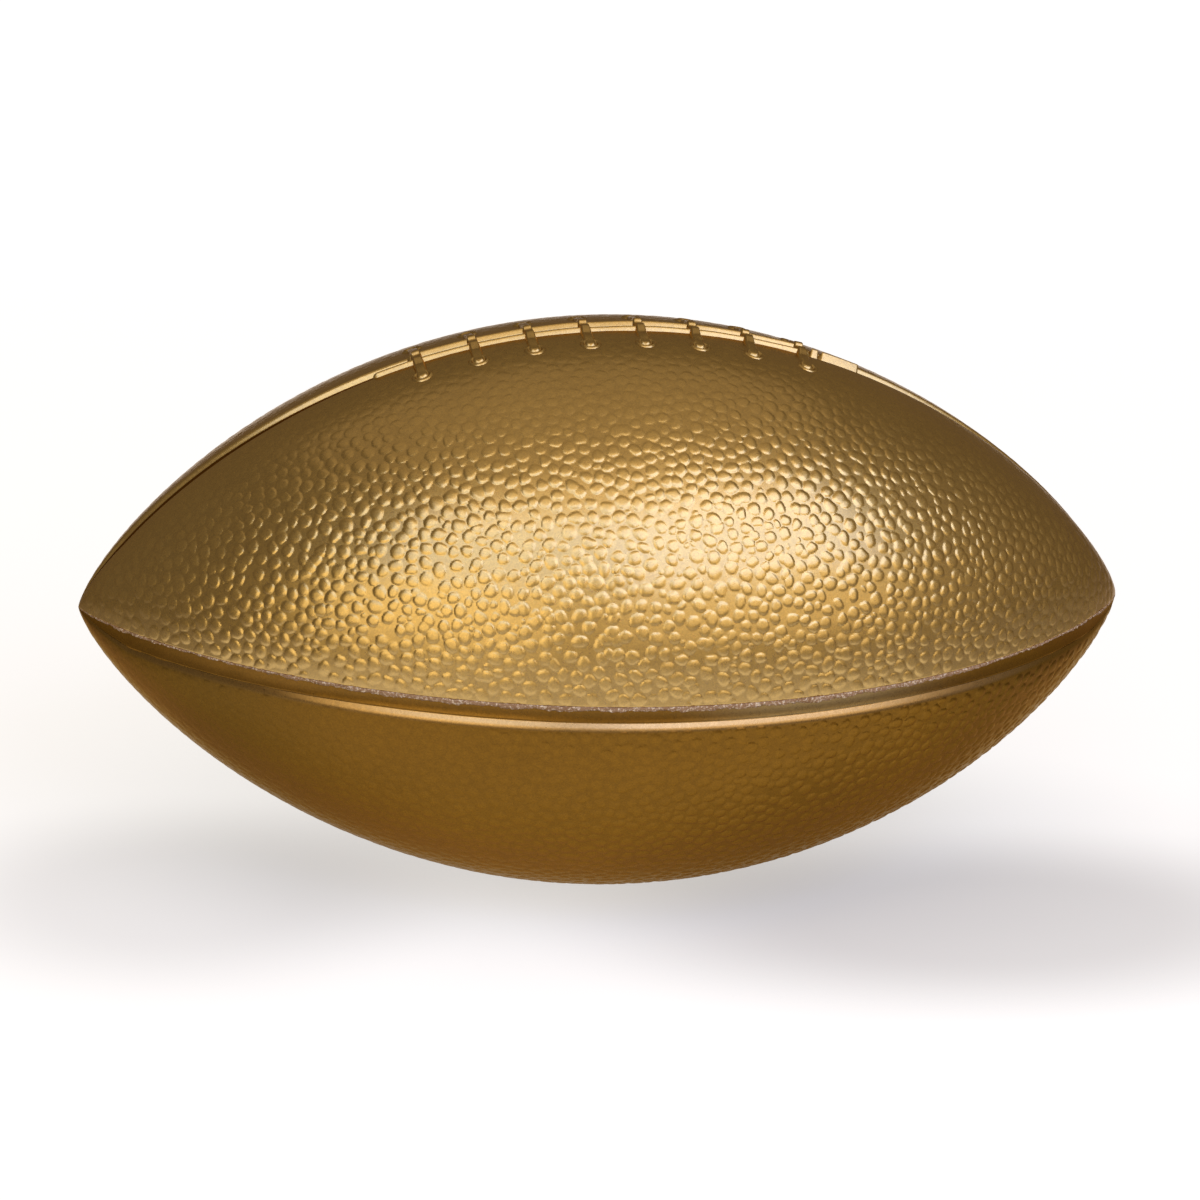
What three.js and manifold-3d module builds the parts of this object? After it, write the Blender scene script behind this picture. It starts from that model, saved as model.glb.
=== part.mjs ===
// American football with a moulded gold cover. Four pebbled panels are bonded over a wound carcass, which
// holds an air bladder with a needle valve. Strips close the seam channels, and raised lacing lies on top.
// Millimetres. X runs from nose to nose, Z goes up through the lacing, and the origin is the ball's centre.
// A place on the ball is given by its sweep along the length (a quarter turn at each nose), its angle about
// the X axis (from the lacing towards the front) and its depth below the cover's face.
import * as THREE from "three";
import { mergeVertices } from "three/addons/utils/BufferGeometryUtils.js";
import Module from "manifold-3d";

// Ball outline
const BALL_LENGTH = 241;
const BALL_DIAMETER = 130;
const OUTLINE_POWER = 1.53;
const NOSE_OPENING_RADIUS = 0.8;

// Layers, from the outside in
const COVER_THICKNESS = 2.2;
const CARCASS_THICKNESS = 0.9;
const BLADDER_THICKNESS = 0.9;
const CLEARANCE = 0.3;

// Seam channels between the panels, which narrow towards the noses
const CHANNEL_FLOOR_WIDTH = 3.2;
const CHANNEL_WALL_RUN = 1.3;
const CHANNEL_TAPER_RADIUS = 16;
const PARTING_WALL_RUN = 0.3;
const PARTING_LOWER_WALL_RUN = 1.8;
const STRIP_THICKNESS = 0.9;
const STRIP_END_WIDTH = 0.4;

// Lacing
const LACING_OFFSET = -2.9;
const LACE_BAR_COUNT = 8;
const LACE_BAR_PITCH = 12.35;
const LACE_BAR_LENGTH = 20.6;
const LACE_BAR_WIDTH = 2.5;
const LACE_BAR_THICKNESS = 1;
const LACE_BAR_LANDING = 1.6;
const LACE_BAR_ROUNDING = 0.6;
const LACE_BAR_END_SHARE = 0.6;
const RAIL_WIDTH = 1.8;
const RAIL_ARC = 2.1;
const RAIL_HEIGHT = 0.8;
const RAIL_SIDE_SHARE = 0.6;
const RAIL_END_TAPER = 2;
const RAIL_END_SHARE = 0.5;
const FRONT_RAIL_OVERHANG = 10;
const REAR_RAIL_OVERHANG = 2;
const RAIL_FAR_OVERHANG = 4.7;
const END_TAB_LENGTH = 8;
const END_TAB_WIDTH = 4.8;
const POCKET_SIDE_MARGIN = 1;
const POCKET_END_MARGIN = 1.4;
const POCKET_FLOOR_THICKNESS = 1.2;
const CUTTER_HEADROOM = 2;

// Needle valve, in the middle of the lower rear panel
const VALVE_ANGLE = THREE.MathUtils.degToRad(225);
const VALVE_RECESS = 0.5;
const VALVE_STEM_RADIUS = 3.5;
const VALVE_FLANGE_RADIUS = 8;
const VALVE_FLANGE_THICKNESS = 1.2;
const VALVE_NIPPLE_RADIUS = 3;
const VALVE_NIPPLE_LENGTH = 8;
const VALVE_CORE_RADIUS = 1.5;
const NEEDLE_MOUTH_RADIUS = 1;
const NEEDLE_MOUTH_TIP_RADIUS = 0.4;
const NEEDLE_MOUTH_DEPTH = 2;

// Fineness of the faceted faces
const BALL_ROWS = 24;
const BALL_SIDES = 24;
const PANEL_COLUMNS = 8;
const RAIL_ROWS = 22;
const TAB_ROWS = 6;
const RAIL_COLUMNS = 6;
const ROUND_SIDES = 20;
const WELD_DISTANCE = 1e-4;

const QUARTER_TURN = Math.PI / 2;
const TOP_SEAM = 0;
const FRONT_SEAM = QUARTER_TURN;
const BOTTOM_SEAM = 2 * QUARTER_TURN;
const REAR_SEAM = 3 * QUARTER_TURN;

const HALF_LENGTH = BALL_LENGTH / 2;
const BALL_RADIUS = BALL_DIAMETER / 2;
const CHANNEL_DEPTH = COVER_THICKNESS - STRIP_THICKNESS;
const CARCASS_DEPTH = COVER_THICKNESS + CLEARANCE;
const BLADDER_DEPTH = CARCASS_DEPTH + CARCASS_THICKNESS + CLEARANCE;
const AIR_DEPTH = BLADDER_DEPTH + BLADDER_THICKNESS;
const POCKET_DEPTH = COVER_THICKNESS - POCKET_FLOOR_THICKNESS;
const POCKET_RADIUS = LACE_BAR_WIDTH / 2 + POCKET_SIDE_MARGIN;
const POCKET_ARC = LACE_BAR_LENGTH / 2 + POCKET_END_MARGIN - POCKET_RADIUS;

const wasm = await Module();
wasm.setup();

// Joins equal vertices of a geometry and drops the triangles that have collapsed to a line.
function welded(geometry) {
  const bare = geometry.clone();
  bare.deleteAttribute("normal");
  bare.deleteAttribute("uv");
  const merged = mergeVertices(bare, WELD_DISTANCE);
  const kept = [];
  for (let i = 0; i < merged.index.count; i += 3) {
    const corners = [merged.index.getX(i), merged.index.getX(i + 1), merged.index.getX(i + 2)];
    if (new Set(corners).size === 3) {
      kept.push(...corners);
    }
  }
  merged.setIndex(kept);
  return merged;
}

function toManifold(geometry) {
  const source = welded(geometry);
  const mesh = new wasm.Mesh({
    numProp: 3,
    vertProperties: new Float32Array(source.attributes.position.array),
    triVerts: new Uint32Array(source.index.array),
  });
  return new wasm.Manifold(mesh);
}

function fromManifold(solid) {
  const mesh = solid.getMesh();
  const geometry = new THREE.BufferGeometry();
  geometry.setAttribute("position", new THREE.BufferAttribute(new Float32Array(mesh.vertProperties), 3));
  geometry.setIndex(Array.from(mesh.triVerts));
  return geometry;
}

function cutBy(geometry, cutters) {
  const solid = cutters.reduce((rest, cutter) => rest.subtract(toManifold(cutter)), toManifold(geometry));
  return fromManifold(solid);
}

// Sweep at which the cover's face has a given radius, and at a given place along the length.
const sweepAtRadius = (radius) => Math.acos((radius / BALL_RADIUS) ** (1 / OUTLINE_POWER));
const sweepAtX = (x) => Math.asin(x / HALF_LENGTH);
const faceRadius = (sweep) => BALL_RADIUS * Math.cos(sweep) ** OUTLINE_POWER;

function ballPoint(sweep, angle, depth, spread = 1) {
  const radius = spread * (BALL_RADIUS - depth) * Math.cos(sweep) ** OUTLINE_POWER;
  const x = (HALF_LENGTH - depth) * Math.sin(sweep);
  return new THREE.Vector3(x, -radius * Math.sin(angle), radius * Math.cos(angle));
}

function faceNormal(sweep, angle) {
  const fall = BALL_RADIUS * OUTLINE_POWER * Math.cos(sweep) ** (OUTLINE_POWER - 1) * Math.sin(sweep);
  const run = HALF_LENGTH * Math.cos(sweep);
  return new THREE.Vector3(fall, -run * Math.sin(angle), run * Math.cos(angle)).normalize();
}

// Share of its full size that a seam channel has at a sweep.
const channelShare = (sweep) => Math.min(1, faceRadius(sweep) / CHANNEL_TAPER_RADIUS);

// Closed solid between an outer and an inner grid of points. Rows run along the ball, columns around it.
function slab(rows, columns, outerAt, innerAt) {
  const positions = [];
  for (const pointAt of [outerAt, innerAt]) {
    for (let row = 0; row <= rows; row++) {
      for (let column = 0; column <= columns; column++) {
        positions.push(...pointAt(row, column).toArray());
      }
    }
  }
  const outer = (row, column) => row * (columns + 1) + column;
  const inner = (row, column) => (rows + 1 + row) * (columns + 1) + column;
  const index = [];
  const quad = (a, b, c, d) => index.push(a, b, c, a, c, d);
  for (let row = 0; row < rows; row++) {
    for (let column = 0; column < columns; column++) {
      const next = column + 1;
      quad(outer(row, column), outer(row, next), outer(row + 1, next), outer(row + 1, column));
      quad(inner(row, column), inner(row + 1, column), inner(row + 1, next), inner(row, next));
    }
    quad(outer(row, 0), outer(row + 1, 0), inner(row + 1, 0), inner(row, 0));
    quad(outer(row, columns), inner(row, columns), inner(row + 1, columns), outer(row + 1, columns));
  }
  for (let column = 0; column < columns; column++) {
    const next = column + 1;
    quad(outer(0, column), inner(0, column), inner(0, next), outer(0, next));
    quad(outer(rows, column), outer(rows, next), inner(rows, next), inner(rows, column));
  }
  const geometry = new THREE.BufferGeometry();
  geometry.setAttribute("position", new THREE.Float32BufferAttribute(positions, 3));
  geometry.setIndex(index);
  return geometry;
}

// Cover panel from one seam to the next. Each edge stands back from its seam by its setback, and its wall
// slopes out from there to the face. The inner face is drawn wide, so that its flats clear the carcass.
function panelGeometry(seam, firstEdge, lastEdge) {
  const end = sweepAtRadius(NOSE_OPENING_RADIUS);
  const columns = PANEL_COLUMNS + 2;
  const place = (row, column) => {
    const sweep = end * ((2 * row) / BALL_ROWS - 1);
    const share = channelShare(sweep);
    const arc = (length) => length / faceRadius(sweep);
    const foot = (edge) => arc(Math.max(CLEARANCE, edge.setback * share));
    const firstFoot = seam + foot(firstEdge);
    const lastFoot = seam + QUARTER_TURN - foot(lastEdge);
    const firstLip = firstFoot + arc(firstEdge.run * share);
    const lastLip = lastFoot - arc(lastEdge.run * share);
    const step = (lastLip - firstLip) / PANEL_COLUMNS;
    if (column === 0) {
      return { sweep, angle: firstFoot, depth: CHANNEL_DEPTH * share, step };
    }
    if (column === columns) {
      return { sweep, angle: lastFoot, depth: CHANNEL_DEPTH * share, step };
    }
    return { sweep, angle: firstLip + step * (column - 1), depth: 0, step };
  };
  const outerAt = (row, column) => {
    const spot = place(row, column);
    return ballPoint(spot.sweep, spot.angle, spot.depth);
  };
  const innerAt = (row, column) => {
    const spot = place(row, column);
    return ballPoint(spot.sweep, spot.angle, COVER_THICKNESS, 1 / Math.cos(spot.step / 2));
  };
  return slab(BALL_ROWS, columns, outerAt, innerAt);
}

// Strip on the floor of a seam channel, between two distances from the seam.
function stripGeometry(seam, from, to) {
  const endShare = (STRIP_END_WIDTH + 2 * CLEARANCE) / CHANNEL_FLOOR_WIDTH;
  const end = sweepAtRadius(endShare * CHANNEL_TAPER_RADIUS);
  const pointAt = (depthAt) => (row, column) => {
    const sweep = end * ((2 * row) / BALL_ROWS - 1);
    const share = channelShare(sweep);
    const first = from * share + CLEARANCE;
    const last = to * share - CLEARANCE;
    const distance = first + (last - first) * (column / 2);
    return ballPoint(sweep, seam + distance / faceRadius(sweep), depthAt(share));
  };
  const outerAt = pointAt((share) => CHANNEL_DEPTH * share);
  const innerAt = pointAt(() => COVER_THICKNESS);
  return slab(BALL_ROWS, 2, outerAt, innerAt);
}

// Solid of revolution of the ball's outline at a depth below the cover's face.
function ballGeometry(depth) {
  const profile = [];
  for (let row = 0; row <= BALL_ROWS; row++) {
    const sweep = QUARTER_TURN * ((2 * row) / BALL_ROWS - 1);
    const point = ballPoint(sweep, 0, depth);
    const onAxis = row === 0 || row === BALL_ROWS;
    profile.push(new THREE.Vector2(onAxis ? 0 : point.z, point.x));
  }
  return new THREE.LatheGeometry(profile, BALL_SIDES).rotateZ(-QUARTER_TURN);
}

// Cylinder through the ball's wall for the valve stem.
function valveHoleGeometry() {
  const top = BALL_RADIUS + CUTTER_HEADROOM;
  const bottom = BALL_RADIUS - AIR_DEPTH - VALVE_FLANGE_THICKNESS;
  const radius = VALVE_STEM_RADIUS + CLEARANCE;
  const hole = new THREE.CylinderGeometry(radius, radius, top - bottom, ROUND_SIDES);
  return hole.translate(0, (top + bottom) / 2, 0).rotateX(VALVE_ANGLE + QUARTER_TURN);
}

// Round pocket in an upper panel for one end of a lace bar; side is 1 at the front and -1 at the rear.
function pocketGeometry(x, side) {
  const sweep = sweepAtX(x);
  const angle = (side * POCKET_ARC) / faceRadius(sweep);
  const height = POCKET_DEPTH + CUTTER_HEADROOM;
  const pocket = new THREE.CylinderGeometry(POCKET_RADIUS, POCKET_RADIUS, height, ROUND_SIDES);
  pocket.translate(0, height / 2 - POCKET_DEPTH, 0);
  const turn = new THREE.Quaternion();
  turn.setFromUnitVectors(new THREE.Vector3(0, 1, 0), faceNormal(sweep, angle));
  const place = new THREE.Matrix4();
  return pocket.applyMatrix4(place.compose(ballPoint(sweep, angle, 0), turn, new THREE.Vector3(1, 1, 1)));
}

// Half of a lace bar: it crosses above a rail, lands beside the channel and dips into its pocket.
function barHalf() {
  const halfPocketGap = LACE_BAR_WIDTH / 2 + CLEARANCE;
  const mouth = POCKET_ARC - Math.sqrt(POCKET_RADIUS ** 2 - halfPocketGap ** 2);
  const railEdge = RAIL_ARC + RAIL_WIDTH / 2;
  const crest = RAIL_HEIGHT + CLEARANCE;
  const seat = CLEARANCE - POCKET_DEPTH;
  const end = LACE_BAR_LENGTH / 2;
  return [
    { arc: railEdge, under: crest, share: 1 },
    { arc: railEdge + LACE_BAR_LANDING, under: CLEARANCE, share: 1 },
    { arc: mouth, under: CLEARANCE, share: 1 },
    { arc: mouth + POCKET_DEPTH, under: seat, share: 1 },
    { arc: end - LACE_BAR_ROUNDING, under: seat, share: 1 },
    { arc: end, under: seat, share: LACE_BAR_END_SHARE },
  ];
}

function barGeometry(x) {
  const half = barHalf();
  const mirrored = half.map((spot) => ({ ...spot, arc: -spot.arc })).reverse();
  const spots = [...mirrored, ...half];
  const edge = LACE_BAR_WIDTH / 2;
  const across = [
    { offset: -edge, height: LACE_BAR_THICKNESS - LACE_BAR_ROUNDING },
    { offset: LACE_BAR_ROUNDING - edge, height: LACE_BAR_THICKNESS },
    { offset: edge - LACE_BAR_ROUNDING, height: LACE_BAR_THICKNESS },
    { offset: edge, height: LACE_BAR_THICKNESS - LACE_BAR_ROUNDING },
  ];
  const pointAt = (heightAt) => (row, column) => {
    const spot = spots[column];
    const sweep = sweepAtX(x + across[row].offset * spot.share);
    const height = spot.under + heightAt(row) * spot.share;
    return ballPoint(sweep, spot.arc / faceRadius(sweep), -height);
  };
  const outerAt = pointAt((row) => across[row].height);
  const innerAt = pointAt(() => 0);
  return slab(across.length - 1, spots.length - 1, outerAt, innerAt);
}

// Height of the top channel's floor and walls at a distance from the seam; the cover's face is at zero.
function channelHeight(arc) {
  const climb = (Math.abs(arc) - CHANNEL_FLOOR_WIDTH / 2) / CHANNEL_WALL_RUN;
  return CHANNEL_DEPTH * (THREE.MathUtils.clamp(climb, 0, 1) - 1);
}

// Half-round rib along the top channel, which it follows underneath. Both of its ends taper.
function ribGeometry(from, to, rows, middleArc, width) {
  const crown = (across) => RAIL_SIDE_SHARE + (1 - RAIL_SIDE_SHARE) * Math.sqrt(1 - across ** 2);
  const pointAt = (thicknessShare) => (row, column) => {
    const x = from + ((to - from) * row) / rows;
    const toEnd = Math.min(1, Math.min(x - from, to - x) / RAIL_END_TAPER);
    const share = RAIL_END_SHARE + (1 - RAIL_END_SHARE) * toEnd;
    const across = (2 * column) / RAIL_COLUMNS - 1;
    const arc = middleArc + (across * width * share) / 2;
    const under = channelHeight(arc) + CLEARANCE;
    const height = under + (RAIL_HEIGHT * crown(across) - under) * share * thicknessShare;
    const sweep = sweepAtX(x);
    return ballPoint(sweep, arc / faceRadius(sweep), -height);
  };
  return slab(rows, RAIL_COLUMNS, pointAt(1), pointAt(0));
}

// Valve housing: a stem through the wall, a flange under the bladder and a nipple inside. Y is outwards.
function valveHousingGeometry() {
  const bore = VALVE_CORE_RADIUS + CLEARANCE;
  const top = BALL_RADIUS - VALVE_RECESS;
  const airRadius = (BALL_RADIUS - AIR_DEPTH) * Math.cos(Math.PI / BALL_SIDES) - CLEARANCE;
  const flangeTop = Math.sqrt(airRadius ** 2 - VALVE_FLANGE_RADIUS ** 2);
  const flangeBottom = flangeTop - VALVE_FLANGE_THICKNESS;
  const bottom = flangeBottom - VALVE_NIPPLE_LENGTH;
  const profile = [
    new THREE.Vector2(bore, bottom),
    new THREE.Vector2(VALVE_NIPPLE_RADIUS, bottom),
    new THREE.Vector2(VALVE_NIPPLE_RADIUS, flangeBottom),
    new THREE.Vector2(VALVE_FLANGE_RADIUS, flangeBottom),
    new THREE.Vector2(VALVE_FLANGE_RADIUS, flangeTop),
    new THREE.Vector2(VALVE_STEM_RADIUS, flangeTop),
    new THREE.Vector2(VALVE_STEM_RADIUS, top),
    new THREE.Vector2(bore, top),
    new THREE.Vector2(bore, bottom),
  ];
  return { geometry: new THREE.LatheGeometry(profile, ROUND_SIDES), top, bottom };
}

// Soft plug in the housing's bore. Its mouth leads a pump needle to a slit that is closed at rest.
function valveCoreGeometry(top, bottom) {
  const profile = [
    new THREE.Vector2(0, bottom),
    new THREE.Vector2(VALVE_CORE_RADIUS, bottom),
    new THREE.Vector2(VALVE_CORE_RADIUS, top),
    new THREE.Vector2(NEEDLE_MOUTH_RADIUS, top),
    new THREE.Vector2(NEEDLE_MOUTH_TIP_RADIUS, top - NEEDLE_MOUTH_DEPTH),
    new THREE.Vector2(0, top - NEEDLE_MOUTH_DEPTH),
  ];
  return new THREE.LatheGeometry(profile, ROUND_SIDES);
}

const goldPaint = { color: 0xb48a3c, roughness: 0.4, metalness: 0.85 };
const deepGoldPaint = { color: 0x9a6c26, roughness: 0.42, metalness: 0.8 };
const woundNylon = { color: 0xd6cbb4, roughness: 0.8, metalness: 0 };
const butylRubber = { color: 0x232326, roughness: 0.6, metalness: 0 };
const valveRubber = { color: 0x3a332c, roughness: 0.65, metalness: 0 };

function piece(name, geometry, finish) {
  const shaped = welded(geometry);
  shaped.computeVertexNormals();
  const mesh = new THREE.Mesh(shaped, new THREE.MeshStandardMaterial({ ...finish, flatShading: true }));
  mesh.name = name;
  return mesh;
}

const barPlaces = [];
for (let i = 0; i < LACE_BAR_COUNT; i++) {
  barPlaces.push(LACING_OFFSET + (i - (LACE_BAR_COUNT - 1) / 2) * LACE_BAR_PITCH);
}
const frontPockets = barPlaces.map((x) => pocketGeometry(x, 1));
const rearPockets = barPlaces.map((x) => pocketGeometry(x, -1));
const valveHole = valveHoleGeometry();

const centredEdge = { setback: CHANNEL_FLOOR_WIDTH / 2, run: CHANNEL_WALL_RUN };
const partingEdge = { setback: 0, run: PARTING_WALL_RUN };
const partingLowerEdge = { setback: CHANNEL_FLOOR_WIDTH, run: PARTING_LOWER_WALL_RUN };

const group = new THREE.Group();
group.name = "american_football";

const upperFront = cutBy(panelGeometry(TOP_SEAM, centredEdge, partingEdge), frontPockets);
const upperRear = cutBy(panelGeometry(REAR_SEAM, partingEdge, centredEdge), rearPockets);
const lowerFront = panelGeometry(FRONT_SEAM, partingLowerEdge, centredEdge);
const lowerRear = cutBy(panelGeometry(BOTTOM_SEAM, centredEdge, partingLowerEdge), [valveHole]);
group.add(piece("upper_front_panel", upperFront, goldPaint));
group.add(piece("upper_rear_panel", upperRear, goldPaint));
group.add(piece("lower_front_panel", lowerFront, deepGoldPaint));
group.add(piece("lower_rear_panel", lowerRear, deepGoldPaint));

const halfFloor = CHANNEL_FLOOR_WIDTH / 2;
group.add(piece("top_seam_strip", stripGeometry(TOP_SEAM, -halfFloor, halfFloor), goldPaint));
group.add(piece("front_seam_strip", stripGeometry(FRONT_SEAM, 0, CHANNEL_FLOOR_WIDTH), deepGoldPaint));
group.add(piece("bottom_seam_strip", stripGeometry(BOTTOM_SEAM, -halfFloor, halfFloor), deepGoldPaint));
group.add(piece("rear_seam_strip", stripGeometry(REAR_SEAM, -CHANNEL_FLOOR_WIDTH, 0), deepGoldPaint));

const firstBar = barPlaces[0];
const railEnd = barPlaces[LACE_BAR_COUNT - 1] + RAIL_FAR_OVERHANG;
const tabStart = railEnd + CLEARANCE;
const frontRail = ribGeometry(firstBar - FRONT_RAIL_OVERHANG, railEnd, RAIL_ROWS, RAIL_ARC, RAIL_WIDTH);
const rearRail = ribGeometry(firstBar - REAR_RAIL_OVERHANG, railEnd, RAIL_ROWS, -RAIL_ARC, RAIL_WIDTH);
const endTab = ribGeometry(tabStart, tabStart + END_TAB_LENGTH, TAB_ROWS, 0, END_TAB_WIDTH);
group.add(piece("front_lace_rail", frontRail, goldPaint));
group.add(piece("rear_lace_rail", rearRail, goldPaint));
group.add(piece("lace_end_tab", endTab, goldPaint));
barPlaces.forEach((x, i) => {
  group.add(piece(`lace_bar_${i + 1}`, barGeometry(x), goldPaint));
});

const carcassShell = [ballGeometry(CARCASS_DEPTH + CARCASS_THICKNESS), valveHole];
const bladderShell = [ballGeometry(AIR_DEPTH), valveHole];
group.add(piece("wound_carcass", cutBy(ballGeometry(CARCASS_DEPTH), carcassShell), woundNylon));
group.add(piece("air_bladder", cutBy(ballGeometry(BLADDER_DEPTH), bladderShell), butylRubber));

const valve = new THREE.Group();
valve.name = "needle_valve";
valve.rotation.x = VALVE_ANGLE + QUARTER_TURN;
const housing = valveHousingGeometry();
valve.add(piece("valve_housing", housing.geometry, valveRubber));
valve.add(piece("valve_core", valveCoreGeometry(housing.top, housing.bottom), butylRubber));
group.add(valve);

export default group;
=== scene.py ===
"""Looks of an american football with a moulded gold cover, built around its packed construction frame.

Lengths are in metres, in the frame's axes: X runs from nose to nose, Z goes up through the lacing, and the
origin is the ball's centre. A place on the ball is given by its sweep along the length (a quarter turn at
each nose), its angle about the X axis (from the lacing towards the front) and its height over the cover.
"""

import logging
import math
from dataclasses import dataclass
from enum import Enum
from typing import ClassVar

import bpy
import numpy as np
from bpy.types import Material, Node, NodeSocket, NodeTree, Object
from mathutils import Matrix, Vector


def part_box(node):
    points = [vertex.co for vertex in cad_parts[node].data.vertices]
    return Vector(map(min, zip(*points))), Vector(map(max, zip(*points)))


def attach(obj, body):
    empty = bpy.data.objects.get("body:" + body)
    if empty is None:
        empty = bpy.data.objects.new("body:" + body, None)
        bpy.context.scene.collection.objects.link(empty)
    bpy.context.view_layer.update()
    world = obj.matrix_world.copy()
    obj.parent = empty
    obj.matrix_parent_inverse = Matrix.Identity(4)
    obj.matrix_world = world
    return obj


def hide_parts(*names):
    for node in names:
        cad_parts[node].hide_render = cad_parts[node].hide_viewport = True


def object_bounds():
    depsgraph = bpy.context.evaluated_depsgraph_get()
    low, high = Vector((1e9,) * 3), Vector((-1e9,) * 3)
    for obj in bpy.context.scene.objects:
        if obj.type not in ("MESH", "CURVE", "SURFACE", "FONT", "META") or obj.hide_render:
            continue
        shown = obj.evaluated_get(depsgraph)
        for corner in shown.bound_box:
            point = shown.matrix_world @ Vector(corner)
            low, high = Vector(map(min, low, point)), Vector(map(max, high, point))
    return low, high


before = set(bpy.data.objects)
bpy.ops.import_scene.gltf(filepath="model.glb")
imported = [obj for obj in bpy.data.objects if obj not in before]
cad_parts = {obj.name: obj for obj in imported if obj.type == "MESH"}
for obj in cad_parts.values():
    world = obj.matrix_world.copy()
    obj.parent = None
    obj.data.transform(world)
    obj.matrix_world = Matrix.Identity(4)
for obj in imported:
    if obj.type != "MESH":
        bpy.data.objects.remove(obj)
CAD_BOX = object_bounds()

MM = 0.001
QUARTER_TURN = math.pi / 2
FULL_TURN = 2 * math.pi
BODY = "root"
BAKE_MAP = "OFBake"
LOG = logging.getLogger("american_football")

Span = tuple[float, float]
Array = np.ndarray
Pair = tuple[Array, Array]


# Helpers for numbers, meshes and shader nodes

def linear(colour: str) -> tuple[float, float, float, float]:
    """Turns an sRGB hex colour into linear light.

    Args:
        colour: Six hex digits after a hash sign.

    Returns:
        Red, green, blue and a full alpha.
    """
    parts = [int(colour[i:i + 2], 16) / 255 for i in (1, 3, 5)]
    red, green, blue = (p / 12.92 if p <= 0.04045 else ((p + 0.055) / 1.055) ** 2.4 for p in parts)
    return red, green, blue, 1.0


def aim(azimuth: float, elevation: float) -> Vector:
    """Direction from the ball's centre.

    Args:
        azimuth: Degrees from the front, towards the +X nose.
        elevation: Degrees up from the level.

    Returns:
        Unit vector.
    """
    side, up = math.radians(azimuth), math.radians(elevation)
    return Vector((math.sin(side) * math.cos(up), -math.cos(side) * math.cos(up), math.sin(up)))


def smooth(low: float, high: float, value: Array) -> Array:
    """Rises smoothly from 0 at the low value to 1 at the high one.

    Args:
        low: Value at which the rise starts.
        high: Value at which it ends.
        value: Values to rate.

    Returns:
        Share for each value.
    """
    share = np.clip((value - low) / (high - low), 0.0, 1.0)
    return share * share * (3.0 - 2.0 * share)


def on_stretch(rise: Span, fall: Span, value: Array) -> Array:
    """Share of 1 on a stretch, which fades in over its rise and out over its fall."""
    return smooth(*rise, value) * (1.0 - smooth(*fall, value))


def ripple(points: Array, size: float, seed: int) -> Array:
    """Soft random waves in space, the same in each run.

    Args:
        points: Places, with the axes last.
        size: Length of a typical wave.
        seed: Which waves to draw.

    Returns:
        A value for each place, mostly between -1 and 1.
    """
    waves, shortest, longest, peak = 7, 0.7, 1.4, 1.4
    draw = np.random.default_rng(seed)
    total = np.zeros(points.shape[:-1])
    for _ in range(waves):
        way = draw.normal(size=3)
        way *= FULL_TURN * draw.uniform(shortest, longest) / (size * np.linalg.norm(way))
        total += np.sin(points @ way + draw.uniform(0, FULL_TURN))
    return total * math.sqrt(2 / waves) / peak


def make_mesh(name: str, points: Array, faces: Array) -> Object:
    """Makes a mesh object of faces that all have as many corners.

    Args:
        name: Name of the object.
        points: Vertices.
        faces: Vertex numbers, one row for each face, anticlockwise from outside.

    Returns:
        The new object, linked to the scene.
    """
    mesh = bpy.data.meshes.new(name)
    mesh.vertices.add(len(points))
    mesh.vertices.foreach_set("co", points.astype(np.float32).ravel())
    mesh.loops.add(faces.size)
    mesh.loops.foreach_set("vertex_index", faces.astype(np.int32).ravel())
    mesh.polygons.add(len(faces))
    mesh.polygons.foreach_set("loop_start", np.arange(0, faces.size, faces.shape[1], dtype=np.int32))
    mesh.update(calc_edges=True)
    piece = bpy.data.objects.new(name, mesh)
    bpy.context.scene.collection.objects.link(piece)
    return piece


def add_share(piece: Object, name: str, share: Array) -> None:
    """Gives each vertex of a piece a share that its finish reads.

    Args:
        piece: The piece.
        name: Name of the share.
        share: A value for each vertex.
    """
    layer = piece.data.attributes.new(name, "FLOAT", "POINT")
    layer.data.foreach_set("value", share.astype(np.float32))


def grid_faces(grid: Array) -> Array:
    """Quads of a grid of vertex numbers, whose rows run along the ball and whose columns run round it."""
    return np.stack([grid[:-1, :-1], grid[:-1, 1:], grid[1:, 1:], grid[1:, :-1]], axis=-1).reshape(-1, 4)


def closed_slab(outer: Array, inner: Array) -> Pair:
    """Closes two grids of points of the same size into a solid.

    Args:
        outer: Points of the outer face, by row along the ball and column round it.
        inner: Points of the inner face.

    Returns:
        Vertices and quads.
    """
    rows, columns = outer.shape[:2]
    top = np.arange(rows * columns).reshape(rows, columns)
    low = top + rows * columns
    rim_top, rim_low = (np.concatenate([face[0, :], face[1:, -1], face[-1, -2::-1], face[-2::-1, 0]])
                        for face in (top, low))
    rim = np.stack([rim_top[:-1], rim_low[:-1], rim_low[1:], rim_top[1:]], axis=-1)
    points = np.concatenate([outer.reshape(-1, 3), inner.reshape(-1, 3)])
    return points, np.concatenate([grid_faces(top), grid_faces(low)[:, ::-1], rim])


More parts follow.
